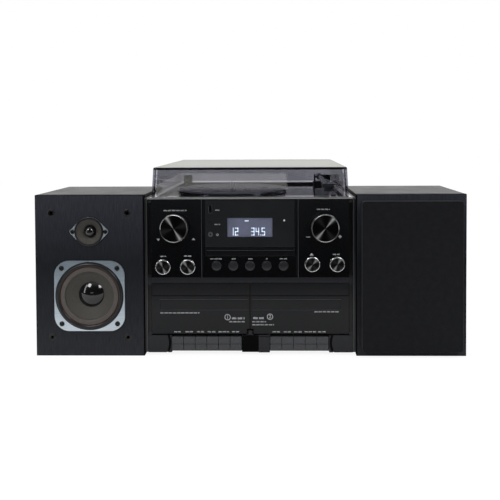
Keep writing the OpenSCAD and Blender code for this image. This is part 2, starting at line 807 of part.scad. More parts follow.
module front_frame() {
    color("#131315") difference() {
        union() {
            // upright behind the glossy panel
            box([-inner_x, inner_x], [panel_back_y, frame_back_y], [panel_z, plinth_z]);
            // ledge over the doors, with the wells' block under it
            box([-panel_w / 2, panel_w / 2], [front_y, chassis_y], [ledge_z, panel_z]);
            box([-inner_x, inner_x], [strip_y, chassis_y], [deck_z, panel_z]);
            // ends beside the keys and the bare centre between the banks
            for (side = [0, 1])
                mirror([side, 0, 0])
                    box([key_right_end + 1, inner_x], [front_y + 0.5, base_front_y], [foot_h, deck_z]);
            box([-key_mid + 0.5, key_mid - 0.5], [front_y + 2, base_front_y], [foot_h, deck_z]);
            box([key_mid - 0.5, key_right_x - 0.6], [front_y, base_front_y], [foot_h, key_z + key_h]);
            box([key_mid - 0.5, key_right_x - 0.6], [front_y + 2, base_front_y], [foot_h, deck_z]);
        }
        for (side = [0, 1]) {
            well_cut(side);
            // curved slot at the end of the keys
            mirror([side, 0, 0]) translate([key_right_end + 36, front_y, deck_z - 12]) rotate([90, 0, 0])
                translate([0, 0, -2]) difference() {
                    cylinder(r = 33, h = 4);
                    translate([0, 0, -1]) cylinder(r = 31, h = 6);
                    translate([-20, -40, -1]) cube([60, 80, 6]);
                }
        }
        // hinge bores of both doors
        bar_x(door_pin_r + shaft_fit, 2 * ear_x + 2, [-ear_x - 1, pivot_y, pivot_z]);
        for (side = [0, 1])
            mirror([side, 0, 0])
                bar_x(door_pin_r + shaft_fit, 4, [panel_w / 2 - 1, pivot_y, pivot_z]);
        // openings of the upper part
        box([-drawer_w / 2 - 0.4, drawer_w / 2 + 0.4], [front_y - 1, frame_back_y + 1],
            [drawer_z - drawer_h / 2 - 0.4, drawer_z + drawer_h / 2 + 0.4]);
        box([-window_w / 2 + window_ledge, window_w / 2 - window_ledge], [front_y - 1, frame_back_y + 1],
            [window_z - window_h / 2 + window_ledge, plinth_z - 3]);
        front_bores(frame = true);
        // tape spindles come through the wells' rear wall
        for (side = [-1, 1], i = [-1, 1])
            bar_y(4.5, well_wall + 2, [side * door_mid_x + i * 21.25, well_back_y - 1, pocket_floor_z + 30]);
    }
}

// Bores for knobs and buttons, through the panel or through the frame behind it
module front_bores(frame) {
    y = frame ? panel_back_y - 1 : front_y - 1;
    l = (frame ? frame_t : panel_t) + 2;
    for (sx = [-1, 1]) {
        bar_y(knob_shaft_r + (frame ? shaft_fit : seat_fit), l, [sx * knob_x, y, knob_z]);
        for (i = [-1, 1])
            bar_y(button_r + seat_fit, l, [sx * knob_x + i * button_pitch / 2, y, button_z(sx)]);
    }
    for (i = [0:disc_button_n - 1])
        bar_y(disc_button_r + seat_fit, l, [disc_button_x(i), y, panel_z + disc_button_up]);
}

function disc_button_x(i) = (i - (disc_button_n - 1) / 2) * disc_button_pitch;

module front_panel() {
    color("#0b0b0d") difference() {
        box([-panel_w / 2, panel_w / 2], [front_y, panel_back_y], [panel_z, panel_z + panel_h]);
        // divider grooves
        for (sx = [-1, 1])
            box([sx * column_x - groove / 2, sx * column_x + groove / 2], [front_y - 1, front_y + groove],
                [panel_z - 1, panel_z + panel_h + 1]);
        // rabbet and opening for the window
        box([-window_w / 2 - 0.1, window_w / 2 + 0.1], [front_y - 1, window_back_y],
            [window_z - window_h / 2 - 0.1, window_z + window_h / 2 + 0.1]);
        box([-window_w / 2 + window_ledge, window_w / 2 - window_ledge], [front_y - 1, panel_back_y + 1],
            [window_z - window_h / 2 + window_ledge, window_z + window_h / 2 - window_ledge]);
        box([-drawer_w / 2 - 0.4, drawer_w / 2 + 0.4], [front_y - 1, panel_back_y + 1],
            [drawer_z - drawer_h / 2 - 0.4, drawer_z + drawer_h / 2 + 0.4]);
        // shallow field of the disc buttons
        box([-disc_recess_w / 2, disc_recess_w / 2], [front_y - 1, front_y + disc_recess],
            [panel_z - 1, panel_z + disc_recess_h]);
        front_bores(frame = false);
    }
}

module display_window() {
    color([0.12, 0.12, 0.16, 0.55]) difference() {
        box([-window_w / 2, window_w / 2], [front_y + 0.3, window_back_y],
            [window_z - window_h / 2, window_z + window_h / 2]);
        box([-socket_x - usb_w / 2 - 0.5, -socket_x + usb_w / 2 + 0.5], [front_y - 1, window_back_y + 1],
            [panel_z + usb_up - usb_h / 2 - 0.5, panel_z + usb_up + usb_h / 2 + 0.5]);
        bar_y(jack_outer_r + 0.3, window_t + 2, [-socket_x, front_y - 0.5, panel_z + jack_up]);
        bar_y(1.2, window_t + 2, [-socket_x, front_y - 0.5, panel_z + sensor_up]);
    }
}

// Front circuit board with the display, the sockets, the knobs' encoders and the button switches
module display_board() {
    low_z = panel_z + 4;
    high_z = plinth_z - 3;
    color("#2e5a3a") difference() {
        union() {
            box([-inner_x + 8, inner_x - 8], [board_y, board_y + pcb_t], [low_z, high_z]);
            // display block
            box([-lcd_w / 2, lcd_w / 2], [window_back_y + 1, board_y],
                [panel_z + lcd_up - lcd_h / 2, panel_z + lcd_up + lcd_h / 2]);
            // encoders
            for (sx = [-1, 1])
                box([sx * knob_x - 7, sx * knob_x + 7], [frame_back_y + 0.6, board_y],
                    [knob_z - 7, knob_z + 7]);
            // switches of the round buttons and of the disc buttons
            for (sx = [-1, 1], i = [-1, 1])
                key_switch(sx * knob_x + i * button_pitch / 2, button_z(sx), button_travel);
            for (i = [0:disc_button_n - 1])
                key_switch(disc_button_x(i), panel_z + disc_button_up, disc_button_travel);
            // shell of the headphone socket
            bar_y(jack_outer_r, board_y - front_y, [-socket_x, front_y, panel_z + jack_up]);
            // posts that hold the board on the frame
            for (sx = [-1, 1], i = [-1, 1])
                bar_y(3, board_gap, [sx * knob_x + i * button_pitch / 2, frame_back_y, button_z(sx) + 22]);
        }
        box([-drawer_w / 2 - 1, drawer_w / 2 + 1], [board_y - 1, board_y + pcb_t + 1],
            [drawer_z - drawer_h / 2 - 2, drawer_z + drawer_h / 2 + 2]);
        bar_y(jack_r, jack_d, [-socket_x, front_y - 0.5, panel_z + jack_up]);
        for (sx = [-1, 1])
            bar_y(knob_shaft_r + 0.2, board_gap, [sx * knob_x, frame_back_y, knob_z]);
    }
    memory_shell();
}

// Metal shell of the memory socket, which stands on the board
module memory_shell() {
    color("#a8abb0") difference() {
        box([-socket_x - usb_w / 2, -socket_x + usb_w / 2], [front_y + 0.5, board_y - 0.05],
            [panel_z + usb_up - usb_h / 2, panel_z + usb_up + usb_h / 2]);
        box([-socket_x - usb_in_w / 2, -socket_x + usb_in_w / 2], [front_y, front_y + usb_d],
            [panel_z + usb_up - usb_in_h / 2, panel_z + usb_up + usb_in_h / 2]);
    }
}

// A small switch that ends just behind its button's travel
module key_switch(x, z, travel) {
    box([x - 3, x + 3], [frame_back_y + 2 + travel, board_y + 0.1], [z - 3, z + 3]);
}

module button_rings() {
    color("#c9ccd0") for (sx = [-1, 1], i = [-1, 1])
        turn_y([sx * knob_x + i * button_pitch / 2, front_y, button_z(sx)]) polygon([
            [ring_in_r, 0], [ring_r, 0], [ring_r, -ring_out + 0.8], [ring_r - 0.8, -ring_out],
            [ring_in_r + 0.5, -ring_out], [ring_in_r, -ring_out + 0.5]]);
}

// ---- Knobs and buttons ----

module knob(cx) {
    skirt = 1.2;
    gap = 1;
    color("#1a1b1d") turn_y([cx, front_y, knob_z]) polygon([
        [0, 9.5], [knob_shaft_r, 9.5], [knob_shaft_r, -gap - 4], [knob_r - 4, -gap - 4], [knob_r - 4, -gap],
        [knob_r - skirt, -gap], [knob_r, -gap - 1], [knob_r, -knob_out + 1.4], [knob_r - 1.2, -knob_out],
        [knob_r - 3, -knob_out + 0.8], [0, -knob_out + 1]]);
}

module tuning_knob() { knob(-knob_x); }
module volume_knob() { knob(knob_x); }

// A push button with a flange that keeps it behind the frame
module push_button(x, z, r, out) {
    color("#222327") turn_y([x, front_y, z]) polygon([
        [0, -out], [r - 1, -out], [r, -out + 1], [r, frame_back_y - front_y + seat_fit],
        [r + 1.2, frame_back_y - front_y + seat_fit], [r + 1.2, frame_back_y - front_y + 1.5],
        [0, frame_back_y - front_y + 1.5]]);
}

module round_button(x) { push_button(x, button_z(x), button_r, button_out); }
module source_button() { round_button(-knob_x - button_pitch / 2); }
module mode_button() { round_button(-knob_x + button_pitch / 2); }
module eject_button() { round_button(knob_x - button_pitch / 2); }
module power_button() { round_button(knob_x + button_pitch / 2); }

module disc_button(i) {
    push_button(disc_button_x(i), panel_z + disc_button_up, disc_button_r, disc_button_out - disc_recess);
}

// ---- Disc player ----

module cd_drawer() {
    color("#1b1c1f") difference() {
        union() {
            box([-drawer_w / 2, drawer_w / 2], [front_y, tray_y],
                [drawer_z - drawer_h / 2, drawer_z + drawer_h / 2]);
            box([-tray_w / 2, tray_w / 2], [tray_y, tray_y + tray_l], [tray_low_z, tray_low_z + tray_t]);
        }
        bar_z(disc_r, tray_t, [0, disc_y, tray_low_z + tray_t - 3]);
        bar_z(disc_r * 2 / 3, tray_t, [0, disc_y, tray_low_z + tray_t - 4.5]);
        // slot for the spindle and the lens
        box([-13, 13], [disc_y - 13, tray_y + tray_l + 1], [tray_low_z - 1, tray_low_z + tray_t + 1]);
        bar_z(17, tray_t + 2, [0, disc_y, tray_low_z - 1]);
    }
}

// Plate with the drawer's rails, the disc motor, the lens carriage and the clamp
module cd_mechanism() {
    rail_x = tray_w / 2 + seat_fit;
    mech_l = tray_l - 20;
    color("#8b8f94") {
        box([-inner_x, inner_x], [mech_front_y, mech_front_y + mech_l], [mech_z, mech_z + mech_plate_t]);
        for (side = [0, 1])
            mirror([side, 0, 0]) {
                box([rail_x, rail_x + 4], [mech_front_y, mech_front_y + mech_l - 18], [mech_z, rail_top_z]);
                box([rail_x - 5, rail_x + 1], [mech_front_y, mech_front_y + mech_l - 18],
                    [tray_low_z - seat_fit - 2, tray_low_z - seat_fit]);
                // arm of the clamp bridge
                box([rail_x - 14, rail_x + 4], [disc_y - 8, disc_y + 8], [rail_top_z, rail_top_z + 2]);
            }
        box([-rail_x, rail_x], [disc_y - 8, disc_y + 8], [rail_top_z, rail_top_z + 2]);
        bar_z(13, 3, [0, disc_y, rail_top_z + 1]);
        // disc motor, spindle and lens carriage
        bar_z(11, tray_low_z - mech_z - 2, [0, disc_y, mech_z]);
        box([-11, 11], [disc_y + 18, disc_y + 44], [mech_z, tray_low_z - 3]);
        bar_z(3.5, tray_low_z - mech_z - 1.5, [0, disc_y + 28, mech_z]);
    }
}

// ---- Cassette decks ----

module deck_door(side) {
    mirror([side, 0, 0]) color("#17181a") difference() {
        union() {
            box([door_in_x, door_out_x], [front_y, front_y + door_t], [panel_low_z, door_top_z]);
            box([ear_x + 0.3, door_out_x], [front_y, front_y + door_t], [pivot_z, panel_low_z + 1]);
            bar_x(barrel_r, door_out_x - ear_x - 0.3, [ear_x + 0.3, pivot_y, pivot_z]);
            bar_x(door_pin_r, door_out_x - ear_x + 4, [ear_x - 3, pivot_y, pivot_z]);
            // pocket that carries the cassette
            for (i = [-1, 1])
                translate([door_mid_x + i * (cassette_w / 2 + 0.5 + pocket_wall / 2), 0, 0])
                    box([-pocket_wall / 2, pocket_wall / 2], [front_y + door_t - 1, pocket_back_y],
                        [pocket_floor_z - pocket_wall, pocket_floor_z + pocket_h]);
            box([door_mid_x - cassette_w / 2 - 1, door_mid_x + cassette_w / 2 + 1],
                [front_y + door_t - 1, pocket_back_y], [pocket_floor_z - pocket_wall, pocket_floor_z]);
            for (i = [-1, 1])
                translate([door_mid_x + i * (cassette_w / 2 - 4), 0, 0])
                    box([-5, 5], [pocket_back_y - pocket_wall, pocket_back_y],
                        [pocket_floor_z - pocket_wall, pocket_floor_z + pocket_h]);
        }
        // darker upper part and the window band
        box([door_in_x - 1, door_out_x + 1], [front_y - 1, front_y + door_step],
            [door_top_z - door_upper_h, door_top_z + 1]);
        box([door_in_x + 2, door_out_x - 14], [front_y - 1, front_y + 0.8],
            [door_top_z - door_upper_h - 6 - door_window_h, door_top_z - door_upper_h - 6]);
        // room for the lens of tape heads in the pocket's floor
        box([door_mid_x - 32, door_mid_x + 32], [front_y + door_t + 3, pocket_back_y + 1],
            [pocket_floor_z - pocket_wall - 1, pocket_floor_z + 1]);
    }
}

module left_deck_door() { deck_door(1); }
module right_deck_door() { deck_door(0); }

// Chassis behind the wells with reel spindles, heads, motor, flywheels and the keys' shafts
module tape_transports() {
    post_w = 3;
    color("#8f9296") {
        box([-inner_x + 4, inner_x - 4], [chassis_y, chassis_y + 2], [key_shelf_z, door_top_z]);
        box([-inner_x + 4, inner_x - 4], [chassis_y, key_pivot_y + 6], [key_shelf_z, key_shelf_z + 2]);
        // posts and shafts of the keys
        for (x = [key_left_x - post_w - 0.6, -key_mid + 0.6,
                  key_right_x - post_w - 0.6, key_right_end + 0.6])
            box([x, x + post_w], [key_pivot_y - 5, key_pivot_y + 5],
                [key_pivot_z - 5, key_shelf_z + 1]);
        bar_x(key_shaft_r, key_n_left * key_pitch + 2.4, [key_left_x - 1.2, key_pivot_y, key_pivot_z]);
        bar_x(key_shaft_r, key_n_right * key_pitch + 2.4, [key_right_x - 1.2, key_pivot_y, key_pivot_z]);
        for (side = [-1, 1]) {
            for (i = [-1, 1]) {
                bar_y(3, well_wall + 12,
                      [side * door_mid_x + i * 21.25, well_back_y - 12, pocket_floor_z + 30]);
                // flywheel behind the chassis
                bar_y(20, 6, [side * door_mid_x + i * 30, chassis_y + 6, pocket_floor_z + 20]);
                bar_y(3, 12, [side * door_mid_x + i * 30, chassis_y, pocket_floor_z + 20]);
            }
            // motor
            bar_y(14, 26, [side * door_mid_x, chassis_y + 1, pocket_floor_z + 50]);
        }
    }
}

// One piano key: front wall, top wall and the eye that turns on the shaft
module key_shape(x) {
    color("#1f2023") along_x(x + key_gap / 2, key_pitch - key_gap) difference() {
        union() {
            translate([front_y, key_z]) square([key_t, key_h]);
            translate([front_y, key_pivot_z]) square([key_l, key_t]);
            translate([key_pivot_y, key_pivot_z]) circle(r = key_t);
        }
        translate([key_pivot_y, key_pivot_z]) circle(r = key_shaft_r + shaft_fit);
        // groove across the face, and a broken lower edge
        translate([front_y - 1, key_z + key_h / 2 - 0.9]) square([1.9, 1.6]);
        translate([front_y, key_z]) rotate(45) square([1.4, 1.4], center = true);
        translate([front_y, key_z + key_h]) rotate(45) square([1.4, 1.4], center = true);
    }
}

module left_key(i) { key_shape(key_left_x + i * key_pitch); }
module right_key(i) { key_shape(key_right_x + i * key_pitch); }

// ---- Inside: circuit boards, transformer ----

module electronics() {
    board_x = -inner_x + 25.5;
    board_w = 180;
    board_z = plate_top + 8;
    board_l = 116;
    board_front_y = rear_y - board_l - 37;
    iron_x = inner_x - 49.5;
    iron_y = rear_y - 103;
    color("#2f5d3c") {
        // main board on posts
        box([board_x, board_x + board_w], [board_front_y, board_front_y + board_l],
            [board_z, board_z + pcb_t]);
        for (x = [8, board_w - 8], y = [8, board_l - 8])
            bar_z(3, board_z - plate_top, [board_x + x, board_front_y + y, plate_top]);
        for (i = [0:3])
            bar_z(6, 22, [board_x + 20 + i * 20, board_front_y + board_l - 18, board_z + 1]);
        // heat sink and power chips
        box([board_x + 100, board_x + 160], [board_front_y + 76, board_front_y + 84],
            [board_z + 1, board_z + 38]);
        for (i = [0:5])
            box([board_x + 20 + i * 13, board_x + 28 + i * 13],
                [board_front_y + 24, board_front_y + 46], [board_z + 1, board_z + 6]);
        // mains transformer with its ears on the base plate
        box([iron_x - 34, iron_x + 34], [iron_y, iron_y + 46], [plate_top, plate_top + 2]);
        box([iron_x - 26, iron_x + 26], [iron_y, iron_y + 46], [plate_top + 1, plate_top + 44]);
        box([iron_x - 18, iron_x + 18], [iron_y - 8, iron_y + 54], [plate_top + 8, plate_top + 37]);
    }
}

// ---- Record deck ----

module deck_plinth() {
    color("#2a2b2e") difference() {
        union() {
            box([-inner_x, inner_x], [panel_back_y, rear_y], [plinth_z, unit_h]);
            box([-inner_x, inner_x], [front_y, panel_back_y + 1], [unit_h - plinth_lip, unit_h]);
            bar_z(tub_r + 2, plinth_z - tub_z + 3, [-spindle_x, plat_y, tub_z - 2]);
            // bearing boss under the tub, and the arm's bearing boss
            bar_z(bearing_r + 3, tub_z - bearing_z + 1.5, [-spindle_x, plat_y, bearing_z - 1.5]);
            bar_z(gimbal_shaft_r + 3, 14, [arm_x, arm_piv_y, plinth_z - 12]);
        }
        // sunk floor, and the round tub under the platter
        translate([0, (deck_front_y + deck_back_y) / 2, floor_z]) linear_extrude(deck_drop + 1)
            round_rect(2 * (inner_x - deck_rim), deck_back_y - deck_front_y, 6);
        bar_z(tub_r, tub_deep + 1, [-spindle_x, plat_y, tub_z]);
        bar_z(bearing_r + shaft_fit, 40, [-spindle_x, plat_y, bearing_z]);
        bar_z(gimbal_shaft_r + shaft_fit, 40, [arm_x, arm_piv_y, plinth_z - 11]);
        bar_z(4, 20, [pulley_x, plat_y, tub_z - 10]);
        // slot of the speed switch
        box([switch_x - 1.5, switch_x + 1.5], [switch_y - 3, switch_y + switch_travel + 3],
            [plinth_z - 1, floor_z + 1]);
    }
}

// Bright parts that stand on the deck: arm rest, lift bearing and cover hinges
module deck_fittings() {
    rest_at = arm_piv_y - rest_y;
    cradle_z = arm_z - arm_r - seat_fit;
    color("#a8abb0") {
        // round pedestal and the arm's cradle, open towards the platter
        bar_z(11, 10, [arm_x - 6, rest_at, floor_z]);
        box([arm_x - 5, arm_x + 8], [rest_at - 4, rest_at + 4], [floor_z, cradle_z]);
        box([arm_x + arm_r + 0.6, arm_x + 8], [rest_at - 4, rest_at + 4], [floor_z, arm_z + 3]);
        // bearing block of the lift lever
        difference() {
            box([lever_x - 5, lever_x - 0.4], [lever_shaft_y - 4, lever_shaft_y + 4], [floor_z, lever_z + 4]);
            bar_x(2 + shaft_fit, 10, [lever_x - 8, lever_shaft_y, lever_z]);
        }
        for (sx = [-1, 1]) hinge_bracket(sx * hinge_x);
    }
}

// Post on the rear rim with two ears and a fixed pin
module hinge_bracket(x) {
    ear_w = (hinge_w - lug_w) / 2 - seat_fit;
    for (side = [-1, 1]) {
        ear_x0 = side > 0 ? x + hinge_w / 2 - ear_w : x - hinge_w / 2;
        along_x(ear_x0, ear_w) {
            translate([hinge_y - 5, unit_h]) square([10, hinge_z - unit_h]);
            translate([hinge_y, hinge_z]) circle(r = 5);
        }
    }
    box([x - hinge_w / 2, x + hinge_w / 2], [hinge_y - 5, hinge_y + 5], [unit_h, unit_h + 3.5]);
    bar_x(hinge_pin_r, hinge_w - 1, [x - hinge_w / 2 + 0.5, hinge_y, hinge_z]);
}

// Motor under the deck, its pulley in the tub and the belt round the hub
module turntable_motor() {
    belt_z = tub_z + 3.5;
    belt_h = 4;
    reach = pulley_x + spindle_x;
    color("#7f8286") {
        bar_z(16, 22, [pulley_x, plat_y, tub_z - 2 - 22]);
        bar_z(1, 26, [pulley_x, plat_y, tub_z - 20]);
        bar_z(pulley_r - 0.4, 7, [pulley_x, plat_y, tub_z + 1.5]);
        translate([0, plat_y, belt_z]) linear_extrude(belt_h) difference() {
            hull() {
                translate([-spindle_x, 0]) circle(r = hub_r + seat_fit + 0.8, $fn = 96);
                translate([pulley_x, 0]) circle(r = pulley_r + 0.8);
            }
            hull() {
                translate([-spindle_x, 0]) circle(r = hub_r + seat_fit, $fn = 96);
                translate([pulley_x, 0]) circle(r = pulley_r);
            }
        }
    }
}

// Platter with its rim, belt hub, bearing shaft, rubber mat and record spindle
module platter() {
    rim_z = floor_z + 0.8;
    top_z = mat_z - mat_t;
    color("#2c2d30") difference() {
        translate([-spindle_x, plat_y, 0]) rotate_extrude() polygon([
            [0, bearing_z + seat_fit], [bearing_r, bearing_z + seat_fit],
            [bearing_r, tub_z + 2.5], [hub_r, tub_z + 2.5],
            [hub_r, hub_top_z + 1], [platter_r - 3, hub_top_z + 1],
            [platter_r - 3, rim_z], [platter_r, rim_z],
            [platter_r, top_z - 0.8], [platter_r - 0.8, top_z],
            [platter_r - 4, top_z], [platter_r - 4, mat_z],
            [14, mat_z], [13, mat_z - 0.6], [spindle_r, mat_z - 0.6], [spindle_r, mat_z + spindle_h - 2],
            [spindle_r - 1.6, mat_z + spindle_h], [0, mat_z + spindle_h]]);
        // finger holes reach the belt
        for (sx = [-1, 1])
            bar_z(finger_r, 20, [-spindle_x + sx * finger_x, plat_y, hub_top_z]);
        // ring cut out of the hub keeps it light
        translate([-spindle_x, plat_y, 0]) rotate_extrude() polygon([
            [bearing_r + 6, tub_z], [hub_r - 4, tub_z],
            [hub_r - 4, hub_top_z + 0.5], [bearing_r + 6, hub_top_z + 0.5]]);
    }
}

module speed_switch() {
    color("#c0c2c5") {
        box([switch_x - 4, switch_x + 4], [switch_y - 3, switch_y + 3], [floor_z + seat_fit, floor_z + 4]);
        box([switch_x - 1.2, switch_x + 1.2], [switch_y - 2.5, switch_y + 2.5], [plinth_z - 3, floor_z + 1]);
    }
}

// ---- Tonearm ----

// Turning base with the yoke that holds the arm's cross shaft
module arm_gimbal() {
    base_top = arm_z - 9;
    color("#3a3b3e") translate([arm_x, arm_piv_y, 0]) difference() {
        union() {
            translate([0, 0, floor_z + seat_fit]) cylinder(r = gimbal_r, h = base_top - floor_z - seat_fit);
            translate([0, 0, plinth_z - 10]) cylinder(r = gimbal_shaft_r, h = floor_z - plinth_z + 12);
            for (side = [0, 1])
                mirror([side, 0, 0]) along_x(yoke_half, yoke_t) {
                    translate([-5, base_top - 1]) square([10, arm_z - base_top + 1]);
                    translate([0, arm_z]) circle(r = 5);
                }
        }
        bar_x(1.5 + shaft_fit, 2 * (yoke_half + yoke_t) + 2, [-yoke_half - yoke_t - 1, 0, arm_z]);
    }
}

// Straight arm with its cross shaft, rear stub, headshell, cartridge and stylus
module tonearm() {
    shell_l = 38;
    shell_w = 18;
    stylus_y = arm_piv_y - arm_l;
    tube_l = arm_l - shell_l + 12;
    color("#b7babf") {
        bar_x(1.5, 2 * (yoke_half + yoke_t) - 1, [arm_x - yoke_half - yoke_t + 0.5, arm_piv_y, arm_z]);
        bar_y(6, 16, [arm_x, arm_piv_y - 8, arm_z]);
        bar_y(arm_r, tube_l, [arm_x, arm_piv_y - tube_l, arm_z]);
        bar_y(6.5, stub_l - 8, [arm_x, arm_piv_y + 7, arm_z]);
        difference() {
            box([arm_x - shell_w / 2, arm_x + shell_w / 2], [stylus_y - 8, stylus_y + shell_l - 8],
                [arm_z - 3.5, arm_z + 3]);
            box([arm_x - shell_w / 2 + 1.5, arm_x + shell_w / 2 - 1.5],
                [stylus_y - 6.5, stylus_y + shell_l - 14], [arm_z - 4.5, arm_z + 1.5]);
        }
        box([arm_x - 6, arm_x + 6], [stylus_y - 4, stylus_y + 13], [arm_z - 10, arm_z + 2]);
        translate([arm_x, stylus_y + 1, arm_z - 11.5]) cylinder(r1 = 0.3, r2 = 1.2, h = 2);
        // finger lift
        box([arm_x + shell_w / 2 - 1, arm_x + shell_w / 2 + 12],
            [stylus_y + 1, stylus_y + 4], [arm_z, arm_z + 1.2]);
    }
}

module cue_lever() {
    color("#c0c2c5") {
        bar_x(2, 9, [lever_x - 5.5, lever_shaft_y, lever_z]);
        along_x(lever_x, 3) {
            translate([lever_shaft_y, lever_z]) circle(r = 4);
            translate([lever_shaft_y, lever_z]) rotate(165) translate([0, -1.6]) square([lever_l, 3.2]);
            translate([lever_shaft_y + lever_l * cos(165), lever_z + lever_l * sin(165)]) circle(r = 2.6);
        }
    }
}

// ---- Dust cover ----

// Outer or inner form of the cover: a box with round corners that leans in a little
module cover_form(inset, low, high) {
    w = cover_w - 2 * inset;
    d = cover_d - 2 * inset;
    r = cover_round - inset;
    edge = 2.5;
    mid_y = (cover_front_y + cover_rear_y) / 2;
    translate([0, mid_y, 0]) hull() {
        for (sx = [-1, 1], sy = [-1, 1]) {
            translate([sx * (w / 2 - r), sy * (d / 2 - r), low]) cylinder(r = r, h = 0.1, $fn = 32);
            // the rear wall stays upright, so that the hinges lie flat on it
            lean_y = sy < 0 ? cover_lean : 0;
            translate([sx * (w / 2 - r - cover_lean), sy * (d / 2 - r - lean_y), high - edge])
                cylinder(r1 = r, r2 = r - edge * 0.3, h = edge * 0.6, $fn = 32);
            translate([sx * (w / 2 - r - cover_lean), sy * (d / 2 - r - lean_y), high - 0.1])
                cylinder(r = r - edge * 0.8, h = 0.1, $fn = 32);
        }
    }
}

module dust_cover() {
    color([0.35, 0.36, 0.38, 0.5]) {
        difference() {
            cover_form(0, cover_z, cover_z + cover_h);
            cover_form(cover_t, cover_z - 1, cover_z + cover_h - cover_t);
        }
        // hinge lugs behind the rear wall
        for (sx = [-1, 1])
            along_x(sx * hinge_x - lug_w / 2, lug_w) difference() {
                union() {
                    translate([cover_rear_y - 1, hinge_z - lug_r])
                        square([hinge_y - cover_rear_y + 1, 2 * lug_r]);
                    translate([hinge_y, hinge_z]) circle(r = lug_r);
                }
                translate([hinge_y, hinge_z]) circle(r = hinge_pin_r + shaft_fit);
            }
    }
}

left_cabinet();
left_baffle();
left_woofer_frame();
left_woofer_cone();
left_tweeter();
left_fittings();
right_cabinet();
right_baffle();
right_woofer();
right_tweeter();
right_fittings();
grille_frame();
grille_cloth();
side_panels();
base_plate();
feet();
rear_cover();
rear_fittings();
front_frame();
front_panel();
display_window();
display_board();
button_rings();
deck_plinth();
deck_fittings();
tape_transports();
electronics();
cd_mechanism();
turntable_motor();
tuning_knob();
volume_knob();
source_button();
mode_button();
eject_button();
power_button();
disc_button(0);  // cd_button_1
disc_button(1);  // cd_button_2
disc_button(2);  // cd_button_3
disc_button(3);  // cd_button_4
disc_button(4);  // cd_button_5
cd_drawer();
left_deck_door();
right_deck_door();
platter();
arm_gimbal();
tonearm();
cue_lever();
speed_switch();
dust_cover();
left_key(0);  // key_left_1
left_key(1);  // key_left_2
left_key(2);  // key_left_3
left_key(3);  // key_left_4
left_key(4);  // key_left_5
left_key(5);  // key_left_6
right_key(0);  // key_right_1
right_key(1);  // key_right_2
right_key(2);  // key_right_3
right_key(3);  // key_right_4
right_key(4);  // key_right_5
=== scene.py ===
import logging
import math
from dataclasses import dataclass, field
from enum import Enum
from typing import Iterable, Protocol, Sequence

import bmesh
import bpy
from mathutils import Matrix, Vector


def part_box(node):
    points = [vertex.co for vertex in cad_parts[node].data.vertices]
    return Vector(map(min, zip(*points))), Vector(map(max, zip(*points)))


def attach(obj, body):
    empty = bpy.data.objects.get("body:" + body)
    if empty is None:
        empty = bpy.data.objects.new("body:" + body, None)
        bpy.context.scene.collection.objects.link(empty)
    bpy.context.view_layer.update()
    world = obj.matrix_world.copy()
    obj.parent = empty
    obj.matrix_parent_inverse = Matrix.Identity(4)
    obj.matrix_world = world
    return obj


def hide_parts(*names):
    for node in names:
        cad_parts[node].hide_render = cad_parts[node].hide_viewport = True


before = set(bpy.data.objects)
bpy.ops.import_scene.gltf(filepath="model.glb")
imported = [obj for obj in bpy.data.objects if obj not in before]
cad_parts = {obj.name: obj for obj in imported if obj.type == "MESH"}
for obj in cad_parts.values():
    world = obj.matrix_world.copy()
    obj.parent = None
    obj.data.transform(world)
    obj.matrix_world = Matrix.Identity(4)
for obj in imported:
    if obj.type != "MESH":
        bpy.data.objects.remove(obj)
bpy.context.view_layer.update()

MM = 0.001
LEVEL_SLACK = 1e-3          # vertices this close to a level, in mm, lie on it
SMOOTH_ANGLE = 40.0         # edges flatter than this many degrees are shaded smooth
EDGE_FACETS = 2             # facets across a broken edge
log = logging.getLogger("music_centre")

Socket = bpy.types.NodeSocket
Value = float | bpy.types.NodeSocket
Colour = tuple[float, float, float, float]
Spot = tuple[float, float]                  # a point of an outline
Corner = tuple[float, float, float]         # a point of an outline and the radius of its corner


# ---- Finishes ----

class Look(Protocol):
    """Anything that gives a material."""

    def material(self) -> bpy.types.Material:
        """The material."""


class Grain(Enum):
    """The fine structure of a surface."""

    SMOOTH = "smooth"
    MOULDED = "moulded"
    VINYL = "vinyl"
    BRUSHED = "brushed"
    PAPER = "paper"
    RUBBER = "rubber"


@dataclass(frozen=True)
class GrainPlan:
    """How a grain is drawn: stretch per axis, speckle size, depth of bump and spread of tone."""

    stretch: tuple[float, float, float]
    pitch: float
    bump: float
    spread: float


GRAINS = {
    Grain.SMOOTH: GrainPlan((1, 1, 1), 25.0, 0.0, 0.05),
    Grain.MOULDED: GrainPlan((1, 1, 1), 0.7, 0.10, 0.12),
    Grain.VINYL: GrainPlan((1, 1, 0.06), 1.0, 0.12, 0.22),
    Grain.BRUSHED: GrainPlan((0.03, 1, 1), 0.5, 0.06, 0.14),
    Grain.PAPER: GrainPlan((1, 1, 1), 1.6, 0.25, 0.16),
    Grain.RUBBER: GrainPlan((1, 1, 1), 1.2, 0.08, 0.15),
}


def linear(code: str, level: float = 1.0) -> Colour:
    """A colour code of six hex digits as linear red, green, blue and alpha, times a level."""
    parts = [int(code[i:i + 2], 16) / 255 for i in (0, 2, 4)]
    return (*(level * (p / 12.92 if p <= 0.04045 else ((p + 0.055) / 1.055) ** 2.4) for p in parts), 1.0)


